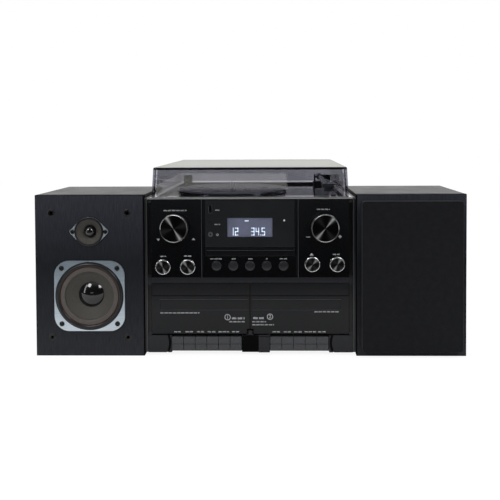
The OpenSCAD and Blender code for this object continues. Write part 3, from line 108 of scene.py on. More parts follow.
class NodeSheet:
    """The nodes and links of one material or of the world."""

    def __init__(self, owner: bpy.types.Material | bpy.types.World) -> None:
        """Start with no nodes."""
        owner.use_nodes = True
        self.owner, self.tree = owner, owner.node_tree
        self.tree.nodes.clear()

    @classmethod
    def named(cls, name: str) -> "NodeSheet":
        """A sheet for a new material of that name."""
        return cls(bpy.data.materials.new(f"{name}_look"))

    def add(self, kind: str, inputs: dict | None = None, **settings: object) -> bpy.types.Node:
        """Add a node.

        Args:
            kind: Node type without its ShaderNode prefix.
            inputs: Values by socket name or number; a socket as value is linked.
            settings: Properties of the node.

        Returns:
            The new node.
        """
        node = self.tree.nodes.new("ShaderNode" + kind)
        for name, value in settings.items():
            setattr(node, name, value)
        for name, value in (inputs or {}).items():
            if isinstance(value, bpy.types.NodeSocket):
                self.tree.links.new(value, node.inputs[name])
            else:
                node.inputs[name].default_value = value
        return node

    def place(self, stretch: Sequence[float] = (1, 1, 1), centre: Sequence[float] = (0, 0, 0)) -> Socket:
        """Object coordinates in millimetres about a centre, stretched along each axis."""
        inputs = {"Location": [c * MM for c in centre], "Scale": [MM / s for s in stretch]}
        inputs["Vector"] = self.add("TexCoord").outputs["Object"]
        return self.add("Mapping", inputs, vector_type="TEXTURE").outputs[0]

    def split(self, vector: Socket) -> bpy.types.bpy_prop_collection:
        """The three parts of a vector."""
        return self.add("SeparateXYZ", {0: vector}).outputs

    def turn(self) -> bpy.types.bpy_prop_collection:
        """The three parts of the surface's direction, in the object's own axes."""
        return self.split(self.add("TexCoord").outputs["Normal"])

    def noise(self, where: Socket, pitch: float, detail: float = 3.0) -> Socket:
        """Noise whose blobs are a pitch apart."""
        return self.add("TexNoise", {"Vector": where, "Scale": 1 / pitch, "Detail": detail}).outputs[0]

    def ramp(self, fac: Socket, stops: Sequence[tuple[float, Colour | str]]) -> Socket:
        """Add a colour ramp.

        Args:
            fac: What it reads.
            stops: Place and colour of each stop, the colour as numbers or as its code.

        Returns:
            Its colour.
        """
        ramp = self.add("ValToRGB", {"Fac": fac})
        elements = ramp.color_ramp.elements
        for i, (at, colour) in enumerate(stops):
            element = elements[i] if i < len(elements) else elements.new(at)
            element.position, element.color = at, linear(colour) if isinstance(colour, str) else colour
        return ramp.outputs[0]

    def mapped(self, value: Socket, start: float, end: float, low: float, high: float) -> Socket:
        """A value between a start and an end, mapped to the range from low to high."""
        return self.add("MapRange", {0: value, 1: start, 2: end, 3: low, 4: high}).outputs[0]

    def spread(self, fac: Socket, low: float, high: float) -> Socket:
        """A noise value mapped from its usual range to a range of numbers."""
        return self.mapped(fac, 0.3, 0.7, low, high)

    def math(self, operation: str, *values: Value) -> Socket:
        """The result of one Math operation."""
        return self.add("Math", dict(enumerate(values)), operation=operation).outputs[0]

    def within(self, value: Socket, low: Value, high: Value) -> Socket:
        """One where a value lies between two others, and zero elsewhere."""
        return self.math("MULTIPLY", self.math("LESS_THAN", low, value), self.math("LESS_THAN", value, high))

    def times(self, first: Socket, second: Socket | Sequence[float]) -> Socket:
        """Two colours or vectors multiplied part by part."""
        return self.add("VectorMath", {0: first, 1: second}, operation="MULTIPLY").outputs[0]

    def mix(self, share: Socket, first: Socket, second: Socket | Colour) -> Socket:
        """A share of the second colour over the first."""
        return self.add("Mix", {0: share, 6: first, 7: second}, data_type="RGBA").outputs[2]

    def bump(self, height: Socket, strength: float, depth: float) -> Socket:
        """The direction of a surface that is raised by up to a depth in millimetres."""
        return self.add("Bump", {"Strength": strength, "Distance": depth * MM, "Height": height}).outputs[0]

    def finish(self, shader: bpy.types.Node) -> bpy.types.Material:
        """Link the shader to the output and hand over the material."""
        self.add("OutputMaterial", {"Surface": shader.outputs[0]})
        return self.owner

    def surface(self, tone: Socket, roughness: Value, **inputs: Value) -> bpy.types.Material:
        """Finish a plain surface.

        Args:
            tone: Its colour.
            roughness: Its roughness.
            inputs: Further inputs of the surface, with _ where their names have a space.

        Returns:
            The material.
        """
        named = {name.replace("_", " "): value for name, value in inputs.items()}
        return self.finish(self.add("BsdfPrincipled", {"Base Color": tone, "Roughness": roughness, **named}))


@dataclass(frozen=True)
class Finish:
    """A surface finish in one colour with a fine grain."""

    name: str
    colour: str
    roughness: float
    grain: Grain
    metallic: float = 0.0
    specular: float = 0.5
    coat: float = 0.0

    def material(self) -> bpy.types.Material:
        """The finish as a material, made once.

        Returns:
            The material, new or from an earlier call.
        """
        known = bpy.data.materials.get(f"{self.name}_look")
        if known:
            return known
        sheet, plan, cloud_pitch, drift = NodeSheet.named(self.name), GRAINS[self.grain], 40.0, 0.08
        fine = sheet.noise(sheet.place(plan.stretch), plan.pitch, 4.0)
        cloud = sheet.noise(sheet.place(), cloud_pitch)
        rough = sheet.spread(cloud, self.roughness * (1 - drift), self.roughness * (1 + drift))
        grained = {"Normal": sheet.bump(fine, plan.bump, 0.2)} if plan.bump else {}
        return sheet.surface(self.tone(sheet, fine, plan.spread), rough, Metallic=self.metallic,
                             Specular_IOR_Level=self.specular, Coat_Weight=self.coat, Coat_Roughness=0.03,
                             **grained)

    def tone(self, sheet: NodeSheet, fine: Socket, spread: float) -> Socket:
        """The colour, a little lighter and darker with the grain."""
        dark, light = (linear(self.colour, 1 + step) for step in (-spread, spread))
        return sheet.ramp(fine, [(0.35, dark), (0.65, light)])


@dataclass(frozen=True)
class PaintedLightFade(Finish):
    """A finish with painted light and shade: it passes through several colours on its way up, and faces
    turned aside can take painted shade.
    """

    # stops: painted light and shade by height; turned: the level of painted shade on faces turned from the
    # front
    stops: tuple[tuple[float, str], ...] = ()
    reach: float = 260.0
    turned: float = 1.0

    def tone(self, sheet: NodeSheet, fine: Socket, spread: float) -> Socket:
        """The colour with painted light and shade by height, a little lighter and darker with the grain.

        Args:
            sheet: The material's nodes.
            fine: The grain.
            spread: How far the grain changes the tone.

        Returns:
            The colour.
        """
        height = sheet.math("DIVIDE", sheet.split(sheet.place())[2], self.reach)
        base = sheet.ramp(height, [(at / self.reach, code) for at, code in self.stops])
        shade = sheet.spread(fine, 1 - spread, 1 + spread)
        # Painted shade on faces turned from the front.
        if self.turned < 1:
            aside = sheet.mapped(sheet.turn()[1], -0.97, -0.9, 1.0, self.turned)
            shade = sheet.math("MULTIPLY", shade, aside)
        return sheet.times(base, shade)


@dataclass(frozen=True)
class SpunFace:
    """Turned metal: fine rings, and a painted highlight, a bright streak across the face at an angle, with a
    faint one.
    """

    name: str
    centre: tuple[float, float, float]
    # streak: angle in degrees of the painted highlight; dark and bright: the face's colour away from it and
    # in it; second_turn and second_level: the faint second painted highlight
    streak: float
    dark: str = "070708"
    bright: str = "e2e2e2"
    sharpness: float = 60.0
    second_turn: float = 75.0
    second_level: float = 0.12

    def material(self) -> bpy.types.Material:
        """The face as a material.

        Returns:
            The material.
        """
        sheet = NodeSheet.named(self.name)
        where = sheet.place(centre=self.centre)
        across, _, up = sheet.split(where)
        # Painted highlight: brightness drawn into the colour by angle about the centre.
        angle = sheet.math("ARCTAN2", up, across)
        main = self._highlight_lobe(sheet, angle, self.streak, self.sharpness)
        side = self._highlight_lobe(sheet, angle, self.streak + self.second_turn, self.sharpness * 0.4)
        lit = sheet.math("ADD", main, sheet.math("MULTIPLY", side, self.second_level))
        tone = sheet.ramp(lit, [(0.0, self.dark), (0.4, "5a5a5b"), (1.0, self.bright)])
        rings = sheet.add("TexWave", {"Vector": where, "Scale": 1.6, "Distortion": 0.0}, wave_type="RINGS",
                          rings_direction="Y").outputs["Fac"]
        return sheet.surface(tone, sheet.spread(rings, 0.3, 0.42), Metallic=0.85,
                             Normal=sheet.bump(rings, 0.12, 0.05))

    def _highlight_lobe(self, sheet: NodeSheet, angle: Socket, at: float, power: float) -> Socket:
        """A bow tie of painted highlight about an angle in degrees."""
        turned = sheet.math("COSINE", sheet.math("SUBTRACT", angle, math.radians(at)))
        return sheet.math("POWER", sheet.math("ABSOLUTE", turned), power)


@dataclass(frozen=True)
class Weave:
    """Stretched black cloth with a square weave, with painted shade where it turns back over its frame."""

    name: str
    colour: str
    pitch: float = 1.1
    turned_shade_level: float = 0.3

    def material(self) -> bpy.types.Material:
        """The cloth as a material.

        Returns:
            The material.
        """
        sheet = NodeSheet.named(self.name)
        where = sheet.place()
        wave = {"Vector": where, "Scale": 0.314 / self.pitch, "Distortion": 0.4}
        knots = sheet.math("MULTIPLY", *(sheet.add("TexWave", wave, wave_type="BANDS", bands_direction=axis)
                                         .outputs["Fac"] for axis in "XZ"))
        cloth = sheet.ramp(knots, [(0.0, linear(self.colour, 0.55)), (0.7, linear(self.colour, 1.35))])
        # Painted shade on the cloth where it turns back from the front.
        tone = sheet.times(cloth, sheet.mapped(sheet.turn()[1], -0.95, -0.6, 1.0, self.turned_shade_level))
        fuzz = sheet.noise(where, 9.0)
        return sheet.surface(tone, sheet.spread(fuzz, 0.78, 0.92), Normal=sheet.bump(knots, 0.35, 0.15),
                             Specular_IOR_Level=0.2, Sheen_Weight=0.1, Sheen_Roughness=0.5)


@dataclass(frozen=True)
class Smoke:
    """Clear smoked plastic. Its outer faces reflect; painted shade darkens its walls where they are seen
    edge-on, and a painted highlight line runs near each front corner.
    """

    name: str
    tint: str
    low: tuple[float, float, float]
    high: tuple[float, float, float]
    slope: float
    wall: float
    # rim and side: painted shade tints, for the walls' top edge and for the front walls beside the corners
    rim: str = "14161c"
    side: str = "a0a0ad"
    gloss: float = 0.03
    glass_index: float = 1.49
    shine: Colour = (0.66, 0.66, 0.63, 1.0)
    front_walls: float = 4.0
    side_walls: float = 1.9
    # glint_walls: where the painted highlight band near each front corner lies
    glint_walls: tuple[float, float] = (2.35, 0.45)
    rim_over: float = 0.9
    foot_h: float = 2.4

    def material(self) -> bpy.types.Material:
        """The plastic as a material; light takes the tint at each face that it crosses.

        Returns:
            The material.
        """
        sheet = NodeSheet.named(self.name)
        across, deep, up = sheet.split(sheet.place())
        haze = sheet.noise(sheet.place(), 60.0)
        clear = sheet.ramp(haze, [(0.3, linear(self.tint, 0.97)), (0.7, linear(self.tint, 1.03))])
        # Painted shade and highlight: the walls' top edge takes the dark rim tint, the front walls beside the
        # corners the side tint, as if seen edge-on, and a band near each front corner is cleared as a painted
        # highlight line; the foot is cleared too.
        leaning = sheet.math("MULTIPLY", sheet.math("SUBTRACT", up, self.low[2]), self.slope)
        off_middle = sheet.math("ADD", sheet.math("ABSOLUTE", across), leaning)
        inward = sheet.math("SUBTRACT", self.high[0], off_middle)
        front = sheet.math("LESS_THAN", deep, self.low[1] + self.front_walls * self.wall)
        beside = sheet.math("MULTIPLY", front, sheet.math("LESS_THAN", inward, self.side_walls * self.wall))
        line = sheet.math("COMPARE", inward, *(share * self.wall for share in self.glint_walls))
        glint = sheet.math("MULTIPLY", front, line)
        upright = sheet.math("LESS_THAN", sheet.math("ABSOLUTE", sheet.turn()[2]), 0.96)
        high_up = sheet.math("GREATER_THAN", up, self.high[2] - self.wall - self.rim_over)
        top_edge = sheet.math("MULTIPLY", high_up, upright)
        foot = sheet.math("LESS_THAN", up, self.low[2] + self.foot_h)
        for mask, colour in ((sheet.math("MAXIMUM", glint, foot), "ffffff"), (beside, self.side),
                             (top_edge, self.rim)):
            clear = sheet.mix(mask, clear, linear(colour))
        through = sheet.add("BsdfTransparent", {"Color": clear})
        shine = sheet.add("BsdfGlossy", {"Color": self.shine, "Roughness": self.gloss})
        outer = sheet.math("SUBTRACT", 1.0, sheet.add("NewGeometry").outputs["Backfacing"])
        share = sheet.math("MULTIPLY", sheet.add("Fresnel", {"IOR": self.glass_index}).outputs[0], outer)
        return sheet.finish(sheet.add("MixShader", {0: share, 1: through.outputs[0], 2: shine.outputs[0]}))


@dataclass(frozen=True)
class WindowGloss:
    """Black glossy window that is clear only in front of the display."""

    name: str
    low: tuple[float, float]
    high: tuple[float, float]
    veil: float = 0.12

    def material(self) -> bpy.types.Material:
        """The window as a material; the clear rectangle is drawn by place.

        Returns:
            The material.
        """
        sheet = NodeSheet.named(self.name)
        across, _, up = sheet.split(sheet.place())
        inside = sheet.math("MULTIPLY", sheet.within(across, self.low[0], self.high[0]),
                            sheet.within(up, self.low[1], self.high[1]))
        cloud = sheet.noise(sheet.place(), 50.0)
        return sheet.surface(sheet.ramp(cloud, [(0.3, "202224"), (0.7, "242628")]),
                             sheet.spread(cloud, 0.05, 0.08), Alpha=sheet.mapped(inside, 0, 1, 1, self.veil))


@dataclass(frozen=True)
class Glow:
    """A lit face, a little brighter and dimmer from place to place."""

    name: str
    colour: str
    strength: float
    spread: float = 0.12

    def material(self) -> bpy.types.Material:
        """The lit face as a material.

        Returns:
            The material.
        """
        sheet = NodeSheet.named(self.name)
        soft = sheet.noise(sheet.place(), 30.0, 1.0)
        tone = sheet.ramp(soft, [(0.3, linear(self.colour, 1 - self.spread)),
                                 (0.7, linear(self.colour, 1 + self.spread))])
        return sheet.surface(tone, 0.4, Emission_Color=tone, Emission_Strength=self.strength)


@dataclass(frozen=True)
class BoardFinish:
    """Circuit boards: green within a thickness of one level on an axis, and dark metal parts beyond it."""

    name: str
    axis: int
    level: float
    thick: float

    def material(self) -> bpy.types.Material:
        """The boards as a material, with tracks on the green.

        Returns:
            The material.
        """
        sheet = NodeSheet.named(self.name)
        where = sheet.place()
        off = sheet.math("ABSOLUTE", sheet.math("SUBTRACT", sheet.split(where)[self.axis], self.level))
        near = sheet.math("LESS_THAN", off, self.thick)
        cells = sheet.add("TexVoronoi", {"Vector": where, "Scale": 0.16}, feature="DISTANCE_TO_EDGE")
        board = sheet.ramp(cells.outputs[0], [(0.02, "6f9a5a"), (0.06, "1f4d2c")])
        parts = sheet.ramp(sheet.noise(where, 14.0), [(0.4, "1c1c1e"), (0.6, "55585c")])
        return sheet.surface(sheet.mix(near, parts, board), 0.45)


@dataclass(frozen=True)
class GroovedMat:
    """The platter: a rubber mat with fine rings, a pale spindle and a satin metal rim."""

    name: str
    centre: tuple[float, float, float]
    mat_r: float
    spindle_r: float
    groove_pitch: float = 2.4
    metal_share: float = 0.945

    def material(self) -> bpy.types.Material:
        """The platter as a material whose rings follow the distance from the spindle.

        Returns:
            The material.
        """
        sheet = NodeSheet.named(self.name)
        flat = sheet.times(sheet.place(centre=self.centre), (1, 1, 0))
        radius = sheet.add("VectorMath", {0: flat}, operation="LENGTH").outputs["Value"]
        rings = sheet.math("SINE", sheet.math("MULTIPLY", radius, 2 * math.pi / self.groove_pitch))
        share = sheet.math("DIVIDE", radius, self.mat_r * 1.02)
        bands = sheet.ramp(share, [
            (0.0, "e2e3e4"), (self.spindle_r / self.mat_r, "55565a"), (0.36, "2e2f32"), (0.39, "6a6b6e"),
            (0.43, "3f4043"), (0.93, "c4c5c4"), (0.942, "a4a7aa")])
        bands.node.color_ramp.interpolation = "CONSTANT"
        rough = sheet.mapped(rings, -1, 1, 0.2, 0.28)
        return sheet.surface(bands, rough, Normal=sheet.bump(rings, 0.25, 0.2),
                             Metallic=sheet.math("GREATER_THAN", share, self.metal_share),
                             Specular_IOR_Level=0.8)


FINISHES = {f.name: f for f in (
    Finish("cabinet_vinyl", "17181a", 0.38, Grain.VINYL, specular=0.25),
    # Painted light and shade: lighter at the top and at the foot, darker in the middle, with painted shade on
    # faces turned aside.
    PaintedLightFade("baffle_vinyl", "1c1e23", 0.5, Grain.VINYL, specular=0.08, turned=0.15, stops=(
        (0.0, "323338"), (60.0, "292a2e"), (150.0, "1e2025"), (258.0, "34363d"))),
    # Painted light: lighter towards the bottom of the frame.
    PaintedLightFade("woofer_steel", "a3b2bf", 0.3, Grain.BRUSHED, metallic=0.6, stops=(
        (41.0, "d3dee6"), (90.0, "b4c1cc"), (155.0, "9aa8b3"))),
    Finish("surround_rubber", "111112", 0.3, Grain.RUBBER),
    Finish("gasket_brown", "6a4a42", 0.45, Grain.RUBBER),
    Finish("edge_brown", "524d49", 0.5, Grain.PAPER),
    Finish("cone_paper", "484541", 0.6, Grain.PAPER, specular=0.3),
    Finish("cap_gloss", "0b0b0d", 0.12, Grain.SMOOTH, coat=0.6),
    Finish("tweeter_metal", "b4c0c8", 0.3, Grain.BRUSHED, metallic=0.6),
    Finish("speaker_trim", "121214", 0.35, Grain.MOULDED),
    Finish("screw_black", "161617", 0.25, Grain.SMOOTH, metallic=0.4),
    # Also the painted shadow in the curved slot openings.
    Finish("centre_black", "050506", 0.3, Grain.SMOOTH, specular=0.05),
    # Pale lines that are painted highlights along edges and grooves.
    Finish("highlight_grey", "3f4146", 0.3, Grain.SMOOTH),
    # Painted highlight along the plinth's front edge.
    Finish("rim_highlight_grey", "8e8f8e", 0.3, Grain.SMOOTH),
    Finish("grille_plastic", "141517", 0.55, Grain.MOULDED),
    Finish("side_black", "1a1b1d", 0.3, Grain.MOULDED),
    Finish("base_steel", "85898d", 0.4, Grain.BRUSHED, metallic=0.8),
    Finish("rear_black", "191a1c", 0.5, Grain.MOULDED),
    Finish("foot_rubber", "151515", 0.8, Grain.RUBBER),
    Finish("socket_black", "09090a", 0.3, Grain.MOULDED),
    # Painted light along the ledge from 117.5 to 127.5 mm; also a lighter band up to 36 mm.
    PaintedLightFade("frame_black", "0d0d0f", 0.22, Grain.MOULDED, specular=0.3, stops=(
        (0.0, "232427"), (36.0, "232427"), (40.0, "0f0f11"), (112.0, "0f0f11"), (117.5, "25262a"),
        (127.5, "222327"), (131.0, "0b0b0d"))),
    # Painted reflection: lighter towards the top.
    PaintedLightFade("panel_gloss", "0d0e10", 0.08, Grain.SMOOTH, stops=(
        (127.0, "050507"), (165.0, "07080a"), (200.0, "0f1012"), (254.0, "141517"))),
    Finish("ring_chrome", "e4e6e8", 0.12, Grain.SMOOTH, metallic=1.0),
    Finish("plinth_black", "343537", 0.1, Grain.SMOOTH, specular=0.8),
    Finish("deck_metal", "d2d4d6", 0.3, Grain.MOULDED, metallic=0.1),
    Finish("steel_plain", "8f9296", 0.4, Grain.BRUSHED, metallic=0.85),
    Finish("iron_green", "3f4246", 0.5, Grain.BRUSHED, metallic=0.5),
    Finish("knob_black", "141416", 0.3, Grain.MOULDED),
    Finish("button_black", "202124", 0.25, Grain.MOULDED),
    Finish("key_black", "404145", 0.3, Grain.MOULDED),
    Finish("drawer_black", "101113", 0.2, Grain.MOULDED, specular=0.3),
    Finish("door_black", "18191b", 0.2, Grain.MOULDED, specular=0.25),
    Finish("arm_metal", "8d9094", 0.25, Grain.MOULDED, metallic=0.5),
    Finish("arm_black", "2a2b2d", 0.35, Grain.MOULDED),
    Finish("lever_metal", "c3c5c8", 0.25, Grain.BRUSHED, metallic=0.8),
    Finish("hinge_black", "1a1a1c", 0.4, Grain.MOULDED),
    Finish("print_grey", "b9bbbd", 0.5, Grain.SMOOTH),
    Finish("socket_red", "8e1a1c", 0.35, Grain.MOULDED),
    Finish("socket_white", "d8d8d4", 0.35, Grain.MOULDED),
)}


def material_of(look: Look | str) -> bpy.types.Material:
    """The material of a look, or of the finish of that name."""
    return (FINISHES[look] if isinstance(look, str) else look).material()


# ---- Shapes ----

class Axis(Enum):
    """The axis that a shape is turned about."""

    Y = (0, 1, 0)
    Z = (0, 0, 1)


def corners(node: str) -> tuple[Vector, Vector]:
    """The lowest and highest corner of a node, in millimetres."""
    low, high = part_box(node)
    return low / MM, high / MM


def middle(node: str) -> Vector:
    """The middle of a node's box, in millimetres."""
    low, high = corners(node)
    return (low + high) / 2


def arc(cx: float, cy: float, radius: float, start: float, end: float, steps: int) -> list[Spot]:
    """Points along an arc between two angles in degrees."""
    turns = [math.radians(start + (end - start) * i / steps) for i in range(steps + 1)]
    return [(cx + radius * math.cos(t), cy + radius * math.sin(t)) for t in turns]


def rectangle(left: float, right: float, low: float, high: float, corner: float) -> list[Corner]:
    """The outline of a rectangle with round corners, for a plate."""
    return [(left, low, corner), (right, low, corner), (right, high, corner), (left, high, corner)]


def puck(radius: float, near: float, far: float, edge: float) -> list[Spot]:
    """The outline of a turned disc between two depths, with broken edges."""
    return [(0, near), (radius - edge, near), (radius, near + edge),
            (radius, far - edge), (radius - edge, far), (0, far)]


@dataclass(frozen=True)
class Region:
    """A box of space that picks out loose solids."""

    low: tuple[float, float, float] = (-math.inf, -math.inf, -math.inf)
    high: tuple[float, float, float] = (math.inf, math.inf, math.inf)

    def holds(self, point: Sequence[float]) -> bool:
        """True if the point lies in the region."""
        return all(a <= p <= b for a, p, b in zip(self.low, point, self.high))


class Shape:
    """A mesh in the making, in millimetres. Each method adds to it or works on all of it, and returns it."""

    def __init__(self) -> None:
        """Start with no geometry."""
        self.bm = bmesh.new()

    def block(self, low: Sequence[float], high: Sequence[float], edge: float = 0.0) -> "Shape":
        """Add a box between two corners.

        Args:
            low: Lowest corner.
            high: Highest corner.
            edge: Radius of its edges.

        Returns:
            The shape itself.
        """
        low, high = Vector(low), Vector(high)
        size = Matrix.Diagonal((*(high - low), 1))
        made = bmesh.ops.create_cube(self.bm, size=1, matrix=Matrix.Translation((low + high) / 2) @ size)
        if edge:
            self.bevel({e for v in made["verts"] for e in v.link_edges}, edge)
        return self

    def turned(self, profile: Sequence[Spot], at: Sequence[float], axis: Axis = Axis.Y, steps: int = 72,
               closed: bool = False) -> "Shape":
        """Add a shape turned about an axis.

        Args:
            profile: Points of radius and distance along the axis.
            at: Where the axis starts.
            axis: Its direction.
            steps: Facets round the axis.
            closed: True where the profile is a loop off the axis.

        Returns:
            The shape itself.
        """
        x, y, z = axis.value
        along, out, at = Vector((x, y, z)), Vector((z, x, y)), Vector(at)
        before = set(self.bm.verts)
        verts = [self.bm.verts.new(at + out * radius + along * depth) for radius, depth in profile]
        pairs = list(zip(verts, verts[1:])) + ([(verts[-1], verts[0])] if closed else [])
        edges = [self.bm.edges.new(pair) for pair in pairs]
        bmesh.ops.spin(self.bm, geom=verts + edges, cent=at, axis=along, dvec=(0, 0, 0), angle=2 * math.pi,
                       steps=steps, use_merge=True)
        fresh = [v for v in self.bm.verts if v not in before]
        bmesh.ops.remove_doubles(self.bm, verts=fresh, dist=0.0005)
        fresh = [v for v in self.bm.verts if v not in before]
        bmesh.ops.recalc_face_normals(self.bm, faces=list({f for v in fresh for f in v.link_faces}))
        return self

    def plate(self, points: Sequence[Corner], front: float, depth: float, edge: float = 0.0,
              hole: Corner | None = None, segments: int = 8) -> "Shape":
        """Add a plate that faces the front.

        Args:
            points: Corners of X, Z and corner radius.
            front: Y of its front face.
            depth: Thickness towards the back.
            edge: Radius of the rim of its front face.
            hole: X, Z and radius of a round hole.
            segments: Facets of a round corner.

        Returns:
            The shape itself.
        """
        before = set(self.bm.faces)
        verts = [self.bm.verts.new((x, front, z)) for x, z, _ in points]
        self.bm.faces.new(verts)
        count = len(points)
        for i, (x, z, radius) in enumerate(points):
            if not radius:
                continue
            here = Vector((x, z))
            back, ahead = (Vector(points[(i + k) % count][:2]) - here for k in (-1, 1))
            reach = radius / math.tan(back.angle(ahead) / 2)
            bmesh.ops.bevel(self.bm, geom=[verts[i]], offset=reach, offset_type="ABSOLUTE", affect="VERTICES",
                            segments=segments, profile=0.5, material=-1, clamp_overlap=False)
        fronts = [next(f for f in self.bm.faces if f not in before)]
        if hole:
            rim = list(fronts[0].edges)
            turn = Matrix.Translation((hole[0], front, hole[1])) @ Matrix.Rotation(math.radians(90), 4, "X")
            ring = bmesh.ops.create_circle(self.bm, cap_ends=False, radius=hole[2], segments=96, matrix=turn)
            inner = list({e for v in ring["verts"] for e in v.link_edges})
            bmesh.ops.delete(self.bm, geom=fronts, context="FACES_ONLY")
            fronts = bmesh.ops.bridge_loops(self.bm, edges=rim + inner)["faces"]
        made = bmesh.ops.extrude_face_region(self.bm, geom=fronts)["geom"]
        moved = [g for g in made if isinstance(g, bmesh.types.BMVert)]
        bmesh.ops.translate(self.bm, vec=(0, depth, 0), verts=moved)
        fresh = [f for f in self.bm.faces if f not in before]
        bmesh.ops.recalc_face_normals(self.bm, faces=fresh)
        if edge:
            self.bevel({e for f in fresh for e in f.edges if e.calc_face_angle(0) > 1.0
                        and all(abs(v.co.y - front) < LEVEL_SLACK for v in e.verts)}, edge)
        return self

    def hulled(self, points: Iterable[Sequence[float]]) -> "Shape":
        """Add the convex hull of some points.

        Args:
            points: The points.

        Returns:
            The shape itself.
        """
        verts = [self.bm.verts.new(p) for p in points]
        made = bmesh.ops.convex_hull(self.bm, input=verts)
        loose = [g for g in made["geom_interior"] + made["geom_unused"] if isinstance(g, bmesh.types.BMVert)]
        bmesh.ops.delete(self.bm, geom=[v for v in loose if v.is_valid], context="VERTS")
        return self

    def copied(self, node: str, edge: float = 0.0, keep: Region | None = None) -> "Shape":
        """Add a merged copy of a node's solids with its sharp outer edges broken.

        Args:
            node: Name of the node.
            edge: Width of the broken edges.
            keep: Only the loose solids whose middle lies in this region.

        Returns:
            The shape itself.
        """
        weld, flat_angle, sharp_angle = 0.004, 0.5, 35.0
        self.bm.from_mesh(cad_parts[node].data)
        bmesh.ops.scale(self.bm, vec=(1 / MM,) * 3, verts=self.bm.verts)
        bmesh.ops.remove_doubles(self.bm, verts=self.bm.verts, dist=weld)
        bmesh.ops.dissolve_degenerate(self.bm, dist=weld, edges=self.bm.edges)
        if keep:
            self._drop_outside(keep)
        bmesh.ops.dissolve_limit(self.bm, angle_limit=math.radians(flat_angle), verts=self.bm.verts,
                                 edges=self.bm.edges)
        if edge:
            self.bevel([e for e in self.bm.edges if len(e.link_faces) == 2 and e.is_convex
                        and e.calc_face_angle(0) > math.radians(sharp_angle)], edge)
        return self

    def _drop_outside(self, keep: Region) -> None:
        """Delete the loose solids whose middle lies outside a region.

        Args:
            keep: The region.
        """
        left = set(self.bm.verts)
        while left:
            island, reached = set(), [left.pop()]
            while reached:
                vert = reached.pop()
                island.add(vert)
                near = {e.other_vert(vert) for e in vert.link_edges} & left
                left -= near
                reached.extend(near)
            spans = [[v.co[i] for v in island] for i in range(3)]
            if not keep.holds([(min(span) + max(span)) / 2 for span in spans]):
                bmesh.ops.delete(self.bm, geom=list(island), context="VERTS")

    def bevel(self, edges: Iterable[bmesh.types.BMEdge], width: float, segments: int = EDGE_FACETS) -> None:
        """Round some edges."""
        bmesh.ops.bevel(self.bm, geom=list(edges), offset=width, offset_type="OFFSET", affect="EDGES",
                        segments=segments, profile=0.5, material=-1, clamp_overlap=False)

    def opened(self, level: float, axis: int, wall: float) -> "Shape":
        """Take away the flat face at a level and give what is left a wall, inwards.

        Args:
            level: Where the face lies along the axis.
            axis: Number of the axis.
            wall: Thickness of the wall.

        Returns:
            The shape itself.
        """
        open_side = [f for f in self.bm.faces if all(abs(v.co[axis] - level) < LEVEL_SLACK for v in f.verts)]
        bmesh.ops.delete(self.bm, geom=open_side, context="FACES")
        bmesh.ops.solidify(self.bm, geom=list(self.bm.faces), thickness=wall)
        bmesh.ops.recalc_face_normals(self.bm, faces=self.bm.faces)
        return self

    def mirrored(self) -> "Shape":
        """Add the mirror image of all of it on the other side of the middle."""
        bmesh.ops.mirror(self.bm, geom=list(self.bm.verts) + list(self.bm.edges) + list(self.bm.faces),
                         matrix=Matrix(), merge_dist=-1, axis="X")
        bmesh.ops.recalc_face_normals(self.bm, faces=self.bm.faces)
        return self

    def _corner_normals(self) -> list[Vector]:
        """Each corner's normal weighted by area, so that flat faces stay flat beside round edges.

        Returns:
            The normals, face by face.
        """
        self.bm.normal_update()
        self.bm.faces.index_update()
        area, least = [face.calc_area() for face in self.bm.faces], math.cos(math.radians(SMOOTH_ANGLE))
        return [sum((near.normal * area[near.index] for near in vert.link_faces
                     if near.normal.dot(face.normal) >= least), Vector()).normalized()
                for face in self.bm.faces for vert in face.verts]

    def piece(self, name: str, look: Look | str, body: str, *replaced: str,
              slot: str = "") -> bpy.types.Object:
        """Make the shape a finished piece that rides on a body.

        Args:
            name: Name of the piece.
            look: What gives its material, or the name of its finish.
            body: The body it rides on.
            replaced: Nodes that it stands for.
            slot: Not used.

        Returns:
            The new object.
        """
        normals = self._corner_normals()
        bmesh.ops.scale(self.bm, vec=(MM,) * 3, verts=self.bm.verts)
        mesh = bpy.data.meshes.new(name)
        self.bm.to_mesh(mesh)
        self.bm.free()
        mesh.polygons.foreach_set("use_smooth", [True] * len(mesh.polygons))
        mesh.normals_split_custom_set(normals)
        mesh.materials.append(material_of(look))
        piece = bpy.data.objects.new(name, mesh)
        bpy.context.scene.collection.objects.link(piece)
        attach(piece, body)
        if replaced:
            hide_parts(*replaced)
        log.info("piece %s on %s", name, body)
        return piece


def ease(node: str, name: str, look: Look | str, body: str, edge: float, slot: str = "") -> None:
    """Stand a copy of a node in for it, with its sharp edges broken."""
    Shape().copied(node, edge).piece(name, look, body, node, slot=slot)


def dress(node: str, look: Look | str) -> None:
    """Give a kept node its material."""
    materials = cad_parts[node].data.materials
    materials.clear()
    materials.append(material_of(look))
    log.info("finish of %s", node)


# ---- Studio ----

@dataclass(frozen=True)
class Lamp:
    """A soft lamp; its stand and size are in metres."""

    name: str
    stand: tuple[float, float, float]
    size: tuple[float, float]
    watts: float

    def build(self, side: int, aim: Vector) -> None:
        """Make the lamp.

        Args:
            side: -1 for the left of the object and 1 for the right.
            aim: The point that it faces, in metres.
        """
        light = bpy.data.lights.new(self.name, "AREA")
        light.shape, light.size, light.size_y, light.energy = "RECTANGLE", *self.size, self.watts
        holder = bpy.data.objects.new(self.name, light)
        at = Vector((side * self.stand[0], *self.stand[1:]))
        turn = (aim - at).to_track_quat("-Z", "Y").to_matrix().to_4x4()
        holder.matrix_world = Matrix.Translation(at) @ turn
        bpy.context.scene.collection.objects.link(holder)


